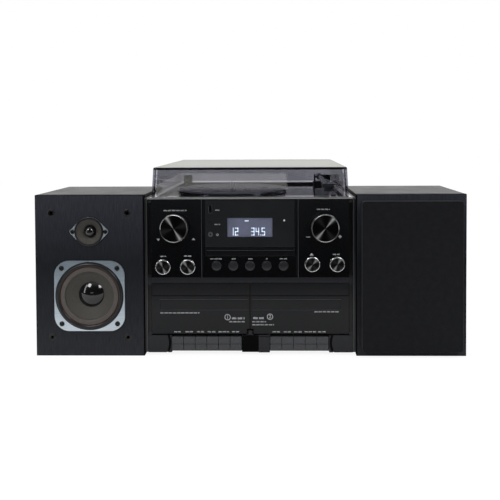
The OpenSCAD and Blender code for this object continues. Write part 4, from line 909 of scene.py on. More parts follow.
@dataclass
class Studio:
    """Camera, lamps, world and floor. Its pixels are those of the photo, and its angles are in degrees."""

    photo_px: int = 500
    focal_px: float = 596.74
    principal_px: tuple[float, float] = (270.0, 150.0)
    stand: tuple[float, float, float] = (46.9, -1113.3, 356.7)
    pitch: float = 1.457
    yaw: float = -0.831
    roll: float = -0.239
    floor_front: float = -545.0
    floor_reach: float = 3200.0
    lamps: tuple[Lamp, ...] = (Lamp("lamp", (0.95, -1.25, 1.25), (0.55, 0.55), 9.0),
                               Lamp("strip", (1.05, -0.75, 0.45), (0.12, 0.8), 1.3))
    card_left: float = -0.205
    card_right: float = 0.014
    card_corner: float = -0.165
    card_low: float = 0.016
    card_high: float = 0.0465
    card_level: float = 3.2

    def build(self) -> None:
        """Set up the whole studio."""
        self.camera()
        self.world()
        self.floor()
        for side in (-1, 1):
            for lamp in self.lamps:
                lamp.build(side, Vector((0, -0.1, 0.12)))
        bpy.context.scene.view_settings.view_transform = "Standard"
        log.info("studio: camera, world, floor and four lamps")

    def camera(self) -> None:
        """Make the camera at the photo's view."""
        yaw, pitch, roll = (math.radians(a) for a in (self.yaw, self.pitch, self.roll))
        ahead = Vector((math.sin(yaw) * math.cos(pitch), math.cos(yaw) * math.cos(pitch), -math.sin(pitch)))
        level = Vector((math.cos(yaw), -math.sin(yaw), 0))
        above = level.cross(ahead)
        right = math.cos(roll) * level + math.sin(roll) * above
        top = math.cos(roll) * above - math.sin(roll) * level
        camera = bpy.data.cameras.new("camera")
        camera.lens = self.focal_px / self.photo_px * camera.sensor_width
        camera.shift_x = 0.5 - self.principal_px[0] / self.photo_px
        camera.shift_y = self.principal_px[1] / self.photo_px - 0.5
        holder = bpy.data.objects.new("camera", camera)
        turn = Matrix((right, top, -ahead)).transposed().to_4x4()
        holder.matrix_world = Matrix.Translation(Vector(self.stand) * MM) @ turn
        bpy.context.scene.collection.objects.link(holder)
        bpy.context.scene.camera = holder

    def world(self) -> None:
        """Make a white background. Other rays see a studio: dim in front, pale behind and bright above."""
        world = bpy.data.worlds.new("studio")
        bpy.context.scene.world = world
        sheet = NodeSheet(world)
        across, deep, up = sheet.split(sheet.add("TexCoord").outputs["Generated"])
        back = sheet.mapped(deep, -0.25, 0.45, 0.04, 0.6)
        far = sheet.mapped(deep, 0.3, 0.7, 0.0, 0.5)
        low_down = sheet.mapped(up, 0.5, 0.25, 0.0, 1.0)
        above = sheet.mapped(up, 0.5, 0.95, 0.0, 0.85)
        level = sheet.math("ADD", sheet.math("MULTIPLY", above, above), back)
        level = sheet.math("ADD", level, sheet.math("MULTIPLY", far, low_down))
        level = sheet.math("ADD", level, self._card(sheet, across, deep, up))
        path = sheet.add("LightPath").outputs
        seen = sheet.math("MAXIMUM", path["Is Camera Ray"], path["Is Transmission Ray"])
        level = sheet.math("MAXIMUM", sheet.math("MULTIPLY", level, sheet.math("SUBTRACT", 1.0, seen)), seen)
        sheet.add("OutputWorld", {"Surface": sheet.add("Background", {
            "Color": (1, 1, 1, 1), "Strength": level}).outputs[0]})

    def _card(self, sheet: NodeSheet, across: Socket, deep: Socket, up: Socket) -> Socket:
        """A pale card in front, low and to the left, which the cover's front mirrors.

        Args:
            sheet: The world's nodes.
            across: The ray's direction to the right.
            deep: Its direction to the back.
            up: Its direction upwards.

        Returns:
            The card's level, zero beside it.
        """
        beyond = sheet.math("MAXIMUM", sheet.math("SUBTRACT", self.card_corner, across), 0.0)
        drop = sheet.math("MULTIPLY", sheet.math("GREATER_THAN", beyond, 0.0), 0.03)
        top = sheet.math("SUBTRACT", self.card_high, sheet.math("MULTIPLY", beyond, 0.63))
        tall = sheet.within(up, sheet.math("SUBTRACT", self.card_low, drop), top)
        wide = sheet.within(across, self.card_left, self.card_right)
        ahead = sheet.math("LESS_THAN", deep, -0.9)
        return sheet.math("MULTIPLY", sheet.math("MULTIPLY", ahead, sheet.math("MULTIPLY", wide, tall)),
                          self.card_level)

    def floor(self) -> None:
        """Make the pale floor, which keeps the object's shadow."""
        bm = bmesh.new()
        bmesh.ops.create_grid(bm, x_segments=1, y_segments=1, size=0.5)
        depth = self.floor_reach - self.floor_front
        bmesh.ops.scale(bm, vec=(2 * self.floor_reach * MM, depth * MM, 1), verts=bm.verts)
        bmesh.ops.translate(bm, vec=(0, (self.floor_front + depth / 2) * MM, 0), verts=bm.verts)
        mesh = bpy.data.meshes.new("floor")
        bm.to_mesh(mesh)
        bm.free()
        sheet = NodeSheet.named("floor_white")
        matt = sheet.add("BsdfDiffuse", {"Color": (0.9, 0.9, 0.9, 1)})
        lit = sheet.add("Emission", {"Color": (1, 1, 1, 1), "Strength": 1.12})
        seen = sheet.math("MULTIPLY", sheet.add("LightPath").outputs["Is Camera Ray"], 0.8)
        mesh.materials.append(sheet.finish(sheet.add("MixShader", {
            0: seen, 1: matt.outputs[0], 2: lit.outputs[0]})))
        floor = bpy.data.objects.new("floor", mesh)
        bpy.context.scene.collection.objects.link(floor)


# ---- Speakers ----

@dataclass
class SpeakerBox:
    """A two-way box speaker with its drivers bare."""

    side: str
    frame_w: float = 114.0
    frame_round: float = 24.0
    frame_t: float = 2.0
    surround_r: float = 53.7
    edge_r: float = 46.8
    cone_r: float = 41.0
    cone_seat: float = -0.85
    ribs: tuple[float, ...] = (31.0, 37.5)
    cap_r: float = 21.0
    cap_deep: float = 9.0
    cap_rise: float = 8.0
    flange_r: float = 23.3
    ear_r: float = 4.5
    ear_x: float = 26.5
    dome_r: float = 9.5
    screw_x: float = 45.0
    socket_x: float = 61.5
    socket_z: tuple[float, float] = (30.5, 232.0)
    clip_x: float = 11.0
    clip_z: tuple[float, float] = (71.5, 79.5)
    body: str = field(init=False)
    cone_node: str = field(init=False)
    frame_node: str = field(init=False)
    woofer: Vector = field(init=False)
    tweeter: Vector = field(init=False)

    def __post_init__(self) -> None:
        """Find the drivers' centres on the baffle's face."""
        face, cx = corners(f"{self.side}_baffle")[0].y, middle(f"{self.side}_cabinet").x
        self.body = f"{self.side}_speaker"
        self.cone_node = "left_woofer_cone" if self.side == "left" else "right_woofer"
        self.frame_node = "left_woofer_frame" if self.side == "left" else "right_woofer"
        self.woofer = Vector((cx, face, middle(self.cone_node).z))
        self.tweeter = Vector((cx, face, middle(f"{self.side}_tweeter").z))

    def build(self) -> None:
        """Make and dress the whole speaker."""
        ease(f"{self.side}_cabinet", f"{self.side}_box", "cabinet_vinyl", self.body, 0.9)
        ease(f"{self.side}_baffle", f"{self.side}_front_board", "baffle_vinyl", self.body, 0.25)
        self.woofer_frame()
        self.woofer_cone()
        self.tweeter_unit()
        self.fittings()
        self.terminals()

    def _ring(self, profile: Sequence[Spot], at: Vector, name: str, look: str, *replaced: str,
              slot: str = "cone_paper", closed: bool = False, steps: int = 72) -> None:
        """Make a turned piece of the speaker.

        Args:
            profile: Its outline of radius and depth.
            at: The driver's centre.
            name: Its name without the side.
            look: Its finish.
            replaced: Nodes that it stands for.
            slot: Not used.
            closed: True where the outline is a loop off the axis.
            steps: Facets round it.
        """
        Shape().turned(profile, at, steps=steps, closed=closed).piece(
            f"{self.side}_{name}", look, self.body, *replaced, slot=slot)

    def woofer_frame(self) -> None:
        """Square pressed frame, basket and magnet."""
        cx, face, cz = self.woofer
        half = self.frame_w / 2
        square = rectangle(cx - half, cx + half, cz - half, cz + half, self.frame_round)
        basket = [(0, 34), (20, 34), (48.2, 0.2), (48.2, -0.8), (54.6, -0.8), (54.6, -0.02), (49.5, -0.02),
                  (49.5, 4), (24, 37), (0, 37)]
        Shape().plate(square, face - self.frame_t, self.frame_t - 0.02, 0.5,
                      (cx, cz, self.surround_r + 0.2)).turned(basket, self.woofer).piece(
            f"{self.side}_woofer_basket", "woofer_steel", self.body, self.frame_node)
        self._ring(puck(38, 37, 55, 1.2), self.woofer, "woofer_magnet", "iron_green", slot="woofer_steel")

    def woofer_cone(self) -> None:
        """Rubber roll, edge band, thin brown seam, ribbed paper cone and glossy dust cap."""
        seat, edge, mid = self.cone_seat, self.edge_r, (self.edge_r + self.surround_r + 0.5) / 2
        roll, wall, inner = mid - edge, 0.9, self.cone_r - 1.4
        flange = [(mid + roll, -2.02), (mid + roll + 1.1, -2.02), (mid + roll + 0.8, -2.5)]
        rubber = [*flange, *arc(mid, seat, roll, 0, -180, 14), (edge - 0.6, seat + wall),
                  *arc(mid, seat, roll - wall, -180, 0, 14)]
        cone = [self.cone_node] if self.side == "left" else []
        self._ring(rubber, self.woofer, "woofer_surround", "surround_rubber", *cone, closed=True, steps=96)
        self._ring([(edge + 0.2, seat - 0.3), (edge - 0.6, seat - 1.5), (self.cone_r - 0.6, seat - 2.2),
                    (inner, seat - 1.6), (inner, seat + 0.2), (edge + 0.2, seat + 0.8)],
                   self.woofer, "woofer_edge", "edge_brown", closed=True, steps=96)
        self._ring([(edge - 0.9, seat - 1.4), (edge - 0.6, seat - 1.9), (edge - 0.2, seat - 1.8),
                    (edge, seat - 1.2)], self.woofer, "woofer_seam", "gasket_brown", closed=True, steps=96)
        paper = self._paper_line()
        back = [(radius, depth + 0.7) for radius, depth in reversed(paper)]
        self._ring(paper + back, self.woofer, "woofer_paper", "cone_paper", closed=True, steps=96)
        ball = (self.cap_r ** 2 / self.cap_rise + self.cap_rise) / 2
        centre = self.cap_deep - self.cap_rise + ball
        half = math.degrees(math.asin(self.cap_r / ball))
        self._ring(arc(0, centre, ball, -90, half - 90, 16) + arc(0, centre, ball - 0.6, half - 90, -90, 16),
                   self.woofer, "woofer_cap", "cap_gloss")

    def _paper_line(self) -> list[tuple[float, float]]:
        """The line of the cone's face, from its middle outwards, with faint ribs.

        Returns:
            Points of radius and depth.
        """
        start, end, steps, lift, curve = self.cap_r - 1.0, self.cone_r - 0.9, 30, 0.9, 0.92
        line = []
        for t in (i / steps for i in range(steps + 1)):
            radius = start + (end - start) * t
            rib = sum(0.35 * math.exp(-((radius - at) / 0.55) ** 2) for at in self.ribs)
            line.append((radius, self.cap_deep - (self.cap_deep + lift) * t ** curve - rib))
        return line

    def tweeter_unit(self) -> None:
        """Eared flange, ring, shallow cone, dome and magnet."""
        cx, face, cz = self.tweeter
        slope = math.asin((self.flange_r - self.ear_r) / self.ear_x)
        tip, peak = self.flange_r / math.sin(slope), self.flange_r / math.cos(slope)
        outline = [(cx - tip, cz, self.ear_r), (cx, cz - peak, self.flange_r), (cx + tip, cz, self.ear_r),
                   (cx, cz + peak, self.flange_r)]
        Shape().plate(outline, face - 1.5, 1.48, 0.3, (cx, cz, self.flange_r - 3), segments=20).piece(
            f"{self.side}_tweeter_flange", "tweeter_metal", self.body, f"{self.side}_tweeter")
        rim, mouth, throat = self.flange_r + 0.15, self.flange_r - 3.05, self.dome_r + 0.6
        ring = [(rim - 3.2, -1.45), (rim - 3.2, -1.8), (rim - 2.6, -2.4), (rim - 0.7, -2.4), (rim, -1.9),
                (rim, -1.45)]
        self._ring(ring, self.tweeter, "tweeter_ring", "speaker_trim", slot="tweeter_metal", closed=True)
        dish = [(mouth + (throat - mouth) * t, -1.2 + 6.2 * t ** 0.8) for t in (0.1, 0.3, 0.5, 0.7, 0.9, 1.0)]
        self._ring([(mouth, -1.4), *dish, (throat, 7.5), (throat + 2, 12), (mouth, 12)], self.tweeter,
                   "tweeter_cone", "cone_paper", slot="tweeter_metal", closed=True)
        self._ring([*arc(0, 6, self.dome_r, -90, -5, 14), (self.dome_r, 7.4), (0, 7.4)], self.tweeter,
                   "tweeter_cap", "cap_gloss", slot="tweeter_metal")
        self._ring(puck(16, 12, 26, 0.6), self.tweeter, "tweeter_magnet", "iron_green", slot="tweeter_metal")

    def fittings(self) -> None:
        """Screw heads with a recess, and collars of the grille's sockets."""
        dress(f"{self.side}_fittings", "socket_black")
        heads, collars = Shape(), Shape()
        places = [(self.woofer, sx * self.screw_x, sz * self.screw_x, self.frame_t, 4.1)
                  for sx in (-1, 1) for sz in (-1, 1)]
        places += [(self.tweeter, sx * self.ear_x, 0.0, 1.5, 3.4) for sx in (-1, 1)]
        for centre, dx, dz, lift, radius in places:
            heads.turned([(0, -1.0), (1.3, -1.0), (1.5, -1.9), (radius * 0.6, -1.9), (radius * 0.9, -1.2),
                          (radius, -0.4), (radius, 0), (0, 0)], centre + Vector((dx, -lift, dz)), steps=32)
        heads.piece(f"{self.side}_screw_heads", "screw_black", self.body, slot="speaker_trim")
        collar = [(4.5, -0.01), (4.5, -0.3), (4.8, -0.5), (5.4, -0.5), (5.9, -0.2), (5.9, -0.01)]
        for sx in (-1, 1):
            for z in self.socket_z:
                at = (self.woofer.x + sx * self.socket_x, self.woofer.y, z)
                collars.turned(collar, at, steps=40, closed=True)
        collars.piece(f"{self.side}_socket_collars", "speaker_trim", self.body)

    def terminals(self) -> None:
        """The coloured levers of the two spring clips."""
        back, (low, high) = corners(f"{self.side}_cabinet")[1].y, self.clip_z
        for colour, side in (("red", -1), ("black", 1)):
            x = self.woofer.x + side * self.clip_x
            Shape().block((x - 4.5, back - 11.2, low), (x + 4.5, back - 6.2, high), 0.8).piece(
                f"{self.side}_clip_{colour}", f"socket_{colour}", self.body, slot="speaker_trim")


@dataclass
class Grille:
    """The right speaker's grille: a moulded frame under stretched cloth."""

    cloth_t: float = 0.76
    corner: float = 4.8
    roll: float = 1.6

    def build(self) -> None:
        """Make the frame and the cloth."""
        ease("grille_frame", "grille_frame_moulding", "grille_plastic", "grille", 0.3)
        low, high = corners("grille_cloth")
        deep = high.y - low.y
        shape = Shape().plate(rectangle(low.x, high.x, low.z, high.z, self.corner), low.y, deep, self.roll,
                              segments=6)
        cloth = shape.opened(high.y, 1, self.cloth_t).piece(
            "grille_fabric", Weave("grille_cloth", "111217"), "grille", "grille_cloth", slot="grille_cloth")


# ---- Main unit ----

@dataclass
class Casing:
    """Side panels, base, feet, rear cover and the moulded front frame."""

    body: str = "main_unit"
    bare_w: float = 13.2
    keys_top: float = 32.6
    slot_x: float = 162.25
    slot_z: float = 21.0
    slot_r: tuple[float, float] = (34.0, 30.6)
    slot_start: float = 24.0
    slot_sweep: float = 46.0
    foot_r: float = 11.0
    socket_up: float = 52.0
    phonos: tuple[tuple[str, float], ...] = (("red", -24.0), ("white", -4.0))
    clips_x: float = -96.0
    clip_pitch: float = 16.0

    def build(self) -> None:
        """Make and dress the casing."""
        ease("side_panels", "side_boards", "side_black", self.body, 0.7)
        low, high = corners("side_panels")
        # Painted highlight: a pale line along the front edge of each side panel.
        seam_x = corners("front_frame")[1].x + 0.4
        seam = Shape().block((seam_x, low.y - 0.05, low.z + 2), (seam_x + 0.9, low.y + 0.2, high.z - 2))
        seam.mirrored().piece("side_edge_highlights", "highlight_grey", self.body, slot="side_black")
        dress("base_plate", "base_steel")
        ease("front_frame", "front_moulding", "frame_black", self.body, 0.35)
        self.black_marks()
        ease("rear_cover", "rear_sheet", "rear_black", self.body, 0.2)
        self.feet()
        self.sockets()

    def black_marks(self) -> None:
        """The bare centre between the keys, and painted shadow: black arcs in the curved slot openings beside
        them.
        """
        low, half = corners("front_frame")[0], self.bare_w
        Shape().block((-half, low.y - 0.08, low.z + 2), (half, low.y + 0.1, self.keys_top)).piece(
            "centre_plate", "centre_black", self.body, slot="frame_black")
        # Painted shadow: black arcs where the curved slot openings are only shaded.
        slot_shadows, (outer, inner) = Print(low.y, 0.08), self.slot_r
        for side, start in ((-1, -self.slot_start), (1, 180 + self.slot_start)):
            centre, end = side * self.slot_x, start - side * self.slot_sweep
            slot_shadows.sign(arc(centre, self.slot_z, outer, start, end, 10)
                       + arc(centre, self.slot_z, inner, end, start, 10))
        slot_shadows.shape.piece("curved_slot_shadows", "centre_black", self.body, slot="frame_black")

    def feet(self) -> None:
        """Four moulded rubber feet with a screw pocket."""
        low, high = corners("feet")
        radius, top = self.foot_r, high.z
        profile = [(0, top - 1), (3, top - 1), (3, 0.4), (3.4, 0), (radius - 1.8, 0), (radius - 1, 0.7),
                   (radius, top - 0.6), (radius - 0.5, top), (0, top)]
        shape = Shape()
        for x in (low.x + radius, high.x - radius):
            for y in (low.y + radius, high.y - radius):
                shape.turned(profile, (x, y, 0), Axis.Z, 48)
        shape.piece("rubber_feet", "foot_rubber", self.body, "feet")

    def sockets(self) -> None:
        """Rear sockets with coloured phono rings and clip levers."""
        dress("rear_fittings", "socket_black")
        back, z = corners("rear_cover")[1].y, corners("base_plate")[1].z + self.socket_up
        for colour, x in self.phonos:
            Shape().turned([(1.9, -1.1), (1.9, -0.2), (4.4, -0.2), (4.9, -0.7), (4.9, -1.1)], (x, back, z),
                           closed=True, steps=48).piece(f"phono_{colour}", f"socket_{colour}", self.body,
                                                        slot="socket_black")
        for i, colour in enumerate(("red", "black", "red", "black")):
            x = self.clips_x + (i - 1.5) * self.clip_pitch
            Shape().block((x - 4.4, back - 3, z + 1), (x + 4.4, back + 0.4, z + 9), 0.8).piece(
                f"rear_clip_{i + 1}", f"socket_{colour}", self.body, slot="socket_black")


class Print:
    """Flat marks on a face: ticks instead of words, and plain signs. Each method returns the print."""

    def __init__(self, face: float, thick: float = 0.06) -> None:
        """Print on a face at a Y."""
        self.shape, self.front, self.thick = Shape(), face - thick, thick

    def ticks(self, left: float, right: float, z: float, height: float, pitch: float = 1.35) -> "Print":
        """Add a row of small upright marks that stands where words would.

        Args:
            left: X of its left end.
            right: X of its right end.
            z: Height of its middle.
            height: Height of a tall mark.
            pitch: Width of a mark with its gap.

        Returns:
            The print itself.
        """
        long_row, word = 6, 5
        count = max(1, round((right - left) / pitch))
        step = (right - left) / count
        for i in range(count):
            if count > long_row and i % word == word - 1:
                continue
            x, tall = left + i * step, height * (0.5 if i % 3 else 0.36)
            end = (x + step * 0.66, self.front + self.thick, z + tall)
            self.shape.block((x, self.front, z - height / 2), end)
        return self

    def sign(self, points: Sequence[tuple[float, float]]) -> "Print":
        """Add a small flat sign with this outline."""
        self.shape.plate([(x, z, 0) for x, z in points], self.front, self.thick)
        return self

    def bar(self, left: float, right: float, low: float, high: float) -> "Print":
        """Add a bar."""
        return self.sign([(left, low), (right, low), (right, high), (left, high)])

    def arrow(self, x: float, z: float, size: float, up: bool) -> "Print":
        """Add a triangle that points up or down."""
        tip = size * 0.8 if up else -size * 0.8
        return self.sign([(x - size, z - tip / 2), (x + size, z - tip / 2), (x, z + tip)])

    def ring(self, x: float, z: float, radius: float, wide: float) -> "Print":
        """Add a thin circle."""
        line = [(radius - wide, 0), (radius, 0), (radius, self.thick), (radius - wide, self.thick)]
        self.shape.turned(line, (x, self.front, z), steps=40, closed=True)
        return self

    def numeral(self, digit: str, x: float, z: float, height: float) -> "Print":
        """Add a plain numeral, made from flat text turned to a mesh.

        Args:
            digit: The numeral.
            x: Where its middle is across.
            z: Where its middle is in height.
            height: Its height.

        Returns:
            The print itself.
        """
        curve = bpy.data.curves.new("numeral", "FONT")
        curve.body, curve.size, curve.align_x, curve.align_y = digit, height * 1.4, "CENTER", "CENTER"
        curve.extrude = self.thick / 2
        holder = bpy.data.objects.new("numeral", curve)
        bpy.context.scene.collection.objects.link(holder)
        bpy.context.view_layer.update()
        mesh = bpy.data.meshes.new_from_object(holder)
        bpy.data.objects.remove(holder)
        middle_at = Matrix.Translation((x, self.front + self.thick / 2, z))
        mesh.transform(middle_at @ Matrix.Rotation(math.pi / 2, 4, "X"))
        self.shape.bm.from_mesh(mesh)
        bpy.data.meshes.remove(mesh)
        return self

    def piece(self, name: str, body: str, slot: str) -> None:
        """Finish the print as one piece."""
        self.shape.piece(name, "print_grey", body, slot=slot)


@dataclass
class FrontPanel:
    """Glossy front with its window, display, rings, painted highlights beside its grooves, and print."""

    body: str = "main_unit"
    lcd_w: float = 73.0
    lcd_h: float = 31.0
    lcd_z: float = 207.7
    lcd_edge: float = 0.2
    digits_up: float = 2.5
    dash_up: float = 26.1
    eye: tuple[float, float] = (55.4, 219.1)
    groove_x: float = 77.0
    highlight_w: float = 0.8
    ring_r: float = 12.4
    ring_w: float = 2.4
    ticks: tuple[tuple[float, float, float, float], ...] = (
        (-138.6, -101.5, 235.5, 2.0), (107.9, 128.9, 237.0, 2.0), (-144.4, -135.0, 161.4, 1.9),
        (-106.2, -93.0, 161.9, 1.9), (133.6, 144.4, 164.3, 1.9))
    arrows: tuple[tuple[float, float, float, bool], ...] = (
        (-147.7, 188.8, 3.0, False), (-90.9, 188.8, 3.0, True), (99.2, 163.8, 3.2, True))
    bars: tuple[tuple[float, float, float, float], ...] = (
        (90.4, 96.8, 191.7, 192.9), (142.1, 147.5, 192.1, 193.5), (144.1, 145.5, 190.1, 192.1),
        (144.1, 145.5, 193.5, 195.5))
    disc_ticks: tuple[Spot, ...] = ((-64, -44), (-29.5, -23), (-2.7, 4.2), (26.0, 28.8), (48, 60))
    disc_ticks_z: float = 157.0
    disc_field_deep: float = 1.2
    face: float = field(init=False)
    pane: tuple[Vector, Vector] = field(init=False)

    def build(self) -> None:
        """Make and dress everything on the glossy front."""
        self.face, self.pane = corners("front_panel")[0].y, corners("display_window")
        ease("front_panel", "gloss_panel", "panel_gloss", self.body, 0.3)
        half_w, half_h = self.lcd_w / 2, self.lcd_h / 2
        window = WindowGloss("window_smoke", (-half_w, self.lcd_z - half_h), (half_w, self.lcd_z + half_h))
        ease("display_window", "window_pane", window, self.body, 0.15, "window_smoke")
        dress("display_board", BoardFinish("board_green", 1, corners("display_board")[1].y - 0.8, 1.0))
        self.display()
        self.rings()
        self.groove_highlights()
        self.labels()

    def display(self) -> None:
        """The lit field, its seven-segment digits and the grey eye beside it."""
        back, low_z = self.pane[1].y, self.lcd_z - self.lcd_h / 2
        half_w, edge = self.lcd_w / 2 - self.lcd_edge, self.lcd_edge
        high_z = low_z + self.lcd_h
        Shape().block((-half_w, back + 0.5, low_z + edge), (half_w, back + 0.95, high_z - edge)).piece(
            "display_field", Glow("display_field", "585c6e", 0.75), self.body, slot="circuit_green")
        digits = Digits(back + 0.35)
        digits.write("12", -31.5, low_z + self.digits_up)
        digits.write("34.5", 2.0, low_z + self.digits_up)
        digits.dash(-5.0, 3.2, low_z + self.dash_up)
        digits.shape.piece("display_digits", Glow("display_digits", "cfdcec", 1.0), self.body,
                           slot="circuit_green")
        eye_at, dome = (self.eye[0], self.pane[0].y, self.eye[1]), [(0, -0.7), (0.9, -0.55), (1.5, 0), (0, 0)]
        Shape().turned(dome, eye_at, steps=32).piece(
            "status_eye", Glow("status_eye", "b5b8bb", 0.3), self.body, slot="window_smoke")

    def rings(self) -> None:
        """Bright rings of the round buttons, rounded at the rim."""
        outer, inner = self.ring_r, self.ring_r - self.ring_w
        out = corners("button_rings")[0].y - self.face
        profile = [(inner, 0), (outer, 0), (outer, out * 0.55), (outer - 0.35, out * 0.85),
                   (outer - 0.9, out), (inner + 0.7, out), (inner + 0.2, out * 0.85), (inner, out * 0.6)]
        shape = Shape()
        for name in ROUND_BUTTONS:
            at = middle(name)
            shape.turned(profile, (at.x, self.face, at.z), steps=64, closed=True)
        shape.piece("bright_rings", "ring_chrome", self.body, "button_rings")

    def groove_highlights(self) -> None:
        """Painted highlights: pale edges beside the panel's two grooves."""
        low, high = corners("front_panel")
        shape = Shape()
        for x in (-self.groove_x - 1.1, self.groove_x + 0.3):
            end = (x + self.highlight_w, self.face - 0.005, high.z - 0.4)
            shape.block((x, self.face - 0.12, low.z + 0.4), end, 0.05)
        shape.piece("groove_edge_highlights", "highlight_grey", self.body, slot="panel_gloss")

    def labels(self) -> None:
        """Ticks and plain signs where the panel is labelled."""
        marks, discs, pane = Print(self.face), Print(self.face + self.disc_field_deep), Print(self.pane[0].y)
        for row in self.ticks:
            marks.ticks(*row)
        for arrow in self.arrows:
            marks.arrow(*arrow)
        for bar in self.bars:
            marks.bar(*bar)
        marks.piece("panel_print", self.body, "panel_gloss")
        for left, right in self.disc_ticks:
            discs.ticks(left, right, self.disc_ticks_z, 1.6)
        discs.piece("disc_print", self.body, "panel_gloss")
        pane.ticks(-55.5, -48.5, 236.0, 1.5).ticks(-56.5, -47.5, 213.0, 1.5).ring(-52.2, 196.2, 1.8, 0.6)
        pane.piece("window_print", self.body, "window_smoke")


@dataclass
class Digits:
    """Seven-segment digits of thin bars that face the front."""

    front: float
    thick: float = 0.12
    height: float = 12.5
    pitch: float = 7.4
    gap: float = 2.0
    bar: float = 1.3
    point_pitch: float = 2.2
    lit: dict[str, str] = field(default_factory=lambda: {"1": "bc", "2": "abged", "3": "abgcd", "4": "fgbc",
                                                         "5": "afgcd"})
    shape: Shape = field(default_factory=Shape)

    def _bar(self, left: float, right: float, low: float, high: float) -> None:
        """One bar."""
        self.shape.block((left, self.front, low), (right, self.front + self.thick, high))

    def dash(self, x: float, half: float, z: float) -> None:
        """A short bar above the digits."""
        self._bar(x - half, x + half, z - 0.9, z + 0.9)

    def write(self, text: str, x: float, z: float) -> None:
        """Write digits and points from a lower left corner.

        Args:
            text: What is written.
            x: Where it starts.
            z: Height of its foot.
        """
        w, h, t = self.pitch - self.gap, self.height, self.bar
        spans = {"a": (0, w, h - t, h), "g": (0, w, h / 2 - t / 2, h / 2 + t / 2), "d": (0, w, 0, t),
                 "f": (0, t, h / 2, h), "b": (w - t, w, h / 2, h),
                 "e": (0, t, 0, h / 2), "c": (w - t, w, 0, h / 2)}
        for sign in text:
            if sign == ".":
                self._bar(x - 0.4, x + 1.0, z, z + 1.4)
                x += self.point_pitch
                continue
            for left, right, low, high in (spans[key] for key in self.lit[sign]):
                self._bar(x + left, x + right, z + low, z + high)
            x += self.pitch


@dataclass
class Control:
    """A round control of the glossy front. Its outline is measured from the panel's face."""

    node: str
    at: tuple[float, float, float] = field(init=False)
    radius: float = field(init=False)
    out: float = field(init=False)
    back: float = field(init=False)

    def __post_init__(self) -> None:
        """Take its place and size from its node."""
        low, high = corners(self.node)
        panel, at = corners("front_panel")[0].y, middle(self.node)
        self.at = (at.x, panel, at.z)
        self.radius, self.out, self.back = (high.z - low.z) / 2, low.y - panel, high.y - panel


@dataclass
class Knob(Control):
    """A large knob with a bright rim and a spun face with a painted highlight streak."""

    streak: float

    def build(self) -> None:
        """Make the body, the rim and the face."""
        radius, out = self.radius, self.out
        Shape().turned([(0, 9.5), (3, 9.5), (3, -5), (radius - 4, -5), (radius - 4, -1), (radius - 1, -1),
                        (radius - 0.2, -1.8), (radius - 0.2, out + 1.6), (radius - 0.6, out + 1.2),
                        (radius - 2, out + 1.2), (0, out + 1.4)], self.at, steps=96).piece(
            f"{self.node}_body", "knob_black", self.node, self.node)
        Shape().turned([(radius - 1.7, out + 1.4), (radius - 1.7, out + 0.5), (radius - 1.2, out),
                        (radius - 0.6, out + 0.05), (radius, out + 0.8), (radius, out + 2.2),
                        (radius - 0.6, out + 2.2)], self.at, steps=96, closed=True).piece(
            f"{self.node}_rim", "ring_chrome", self.node)
        disc = [(0, out + 0.75), (radius - 1.8, out + 0.45), (radius - 1.8, out + 1.3), (0, out + 1.3)]
        spun = SpunFace(f"{self.node}_spun", self.at, self.streak)
        Shape().turned(disc, self.at, steps=96).piece(f"{self.node}_face", spun, self.node, slot="knob_black")


@dataclass
class PushButton(Control):
    """A round push button with a spun face with a painted highlight streak."""

    streak: float
    flange_w: float = 1.2

    def build(self) -> None:
        """Make the button in one piece."""
        flange, radius, front, back = self.radius, self.radius - self.flange_w, self.out, self.back
        face = SpunFace(f"{self.node}_spun", self.at, self.streak, "0b0b0c", "b4b4b4", 22.0)
        Shape().turned([(0, front + 0.4), (radius - 1.2, front), (radius - 0.5, front + 0.15),
                        (radius, front + 0.8), (radius, back - 1.2), (flange, back - 1.2), (flange, back),
                        (0, back)], self.at, steps=64).piece(
            f"{self.node}_cap", face, self.node, self.node, slot="button_black")


@dataclass
class DiscButton(Control):
    """A small satin button of the disc player, with a crowned face."""

    flange_w: float = 1.2
    crown: float = 0.55

    def build(self) -> None:
        """Make the button in one piece."""
        flange, radius, front, back = self.radius, self.radius - self.flange_w, self.out, self.back
        crown = [(radius * math.sin(t) * 0.93, front + self.crown * (1 - math.cos(t)))
                 for t in (0, 0.4, 0.8, 1.2, 1.5)]
        Shape().turned([*crown, (radius - 0.15, front + 1.0), (radius, front + 1.6), (radius, back - 1.2),
                        (flange, back - 1.2), (flange, back), (0, back)], self.at, steps=48).piece(
            f"{self.node}_cap", "button_black", self.node, self.node)


# Angles in degrees of each spun face's painted highlight streak.
ROUND_BUTTONS = {"source_button": 115, "mode_button": 125, "eject_button": 48, "power_button": 60}
KNOBS = {"tuning_knob": 122, "volume_knob": 50}


@dataclass
class DiscDrawer:
    """The disc drawer, a strip in the front with a tray behind it, and its mechanism."""

    highlight_z: float = 170.6
    highlight_h: float = 0.6

    def build(self) -> None:
        """Make the drawer with a painted highlight line along its front, and dress the mechanism."""
        ease("cd_drawer", "disc_tray", "drawer_black", "cd_drawer", 0.5)
        low, high = corners("cd_drawer")
        Shape().block((low.x + 1, low.y - 0.05, self.highlight_z),
                      (high.x - 1, low.y + 0.05, self.highlight_z + self.highlight_h)).piece(
            "disc_drawer_highlight", "highlight_grey", "cd_drawer", slot="drawer_black")
        dress("cd_mechanism", "steel_plain")


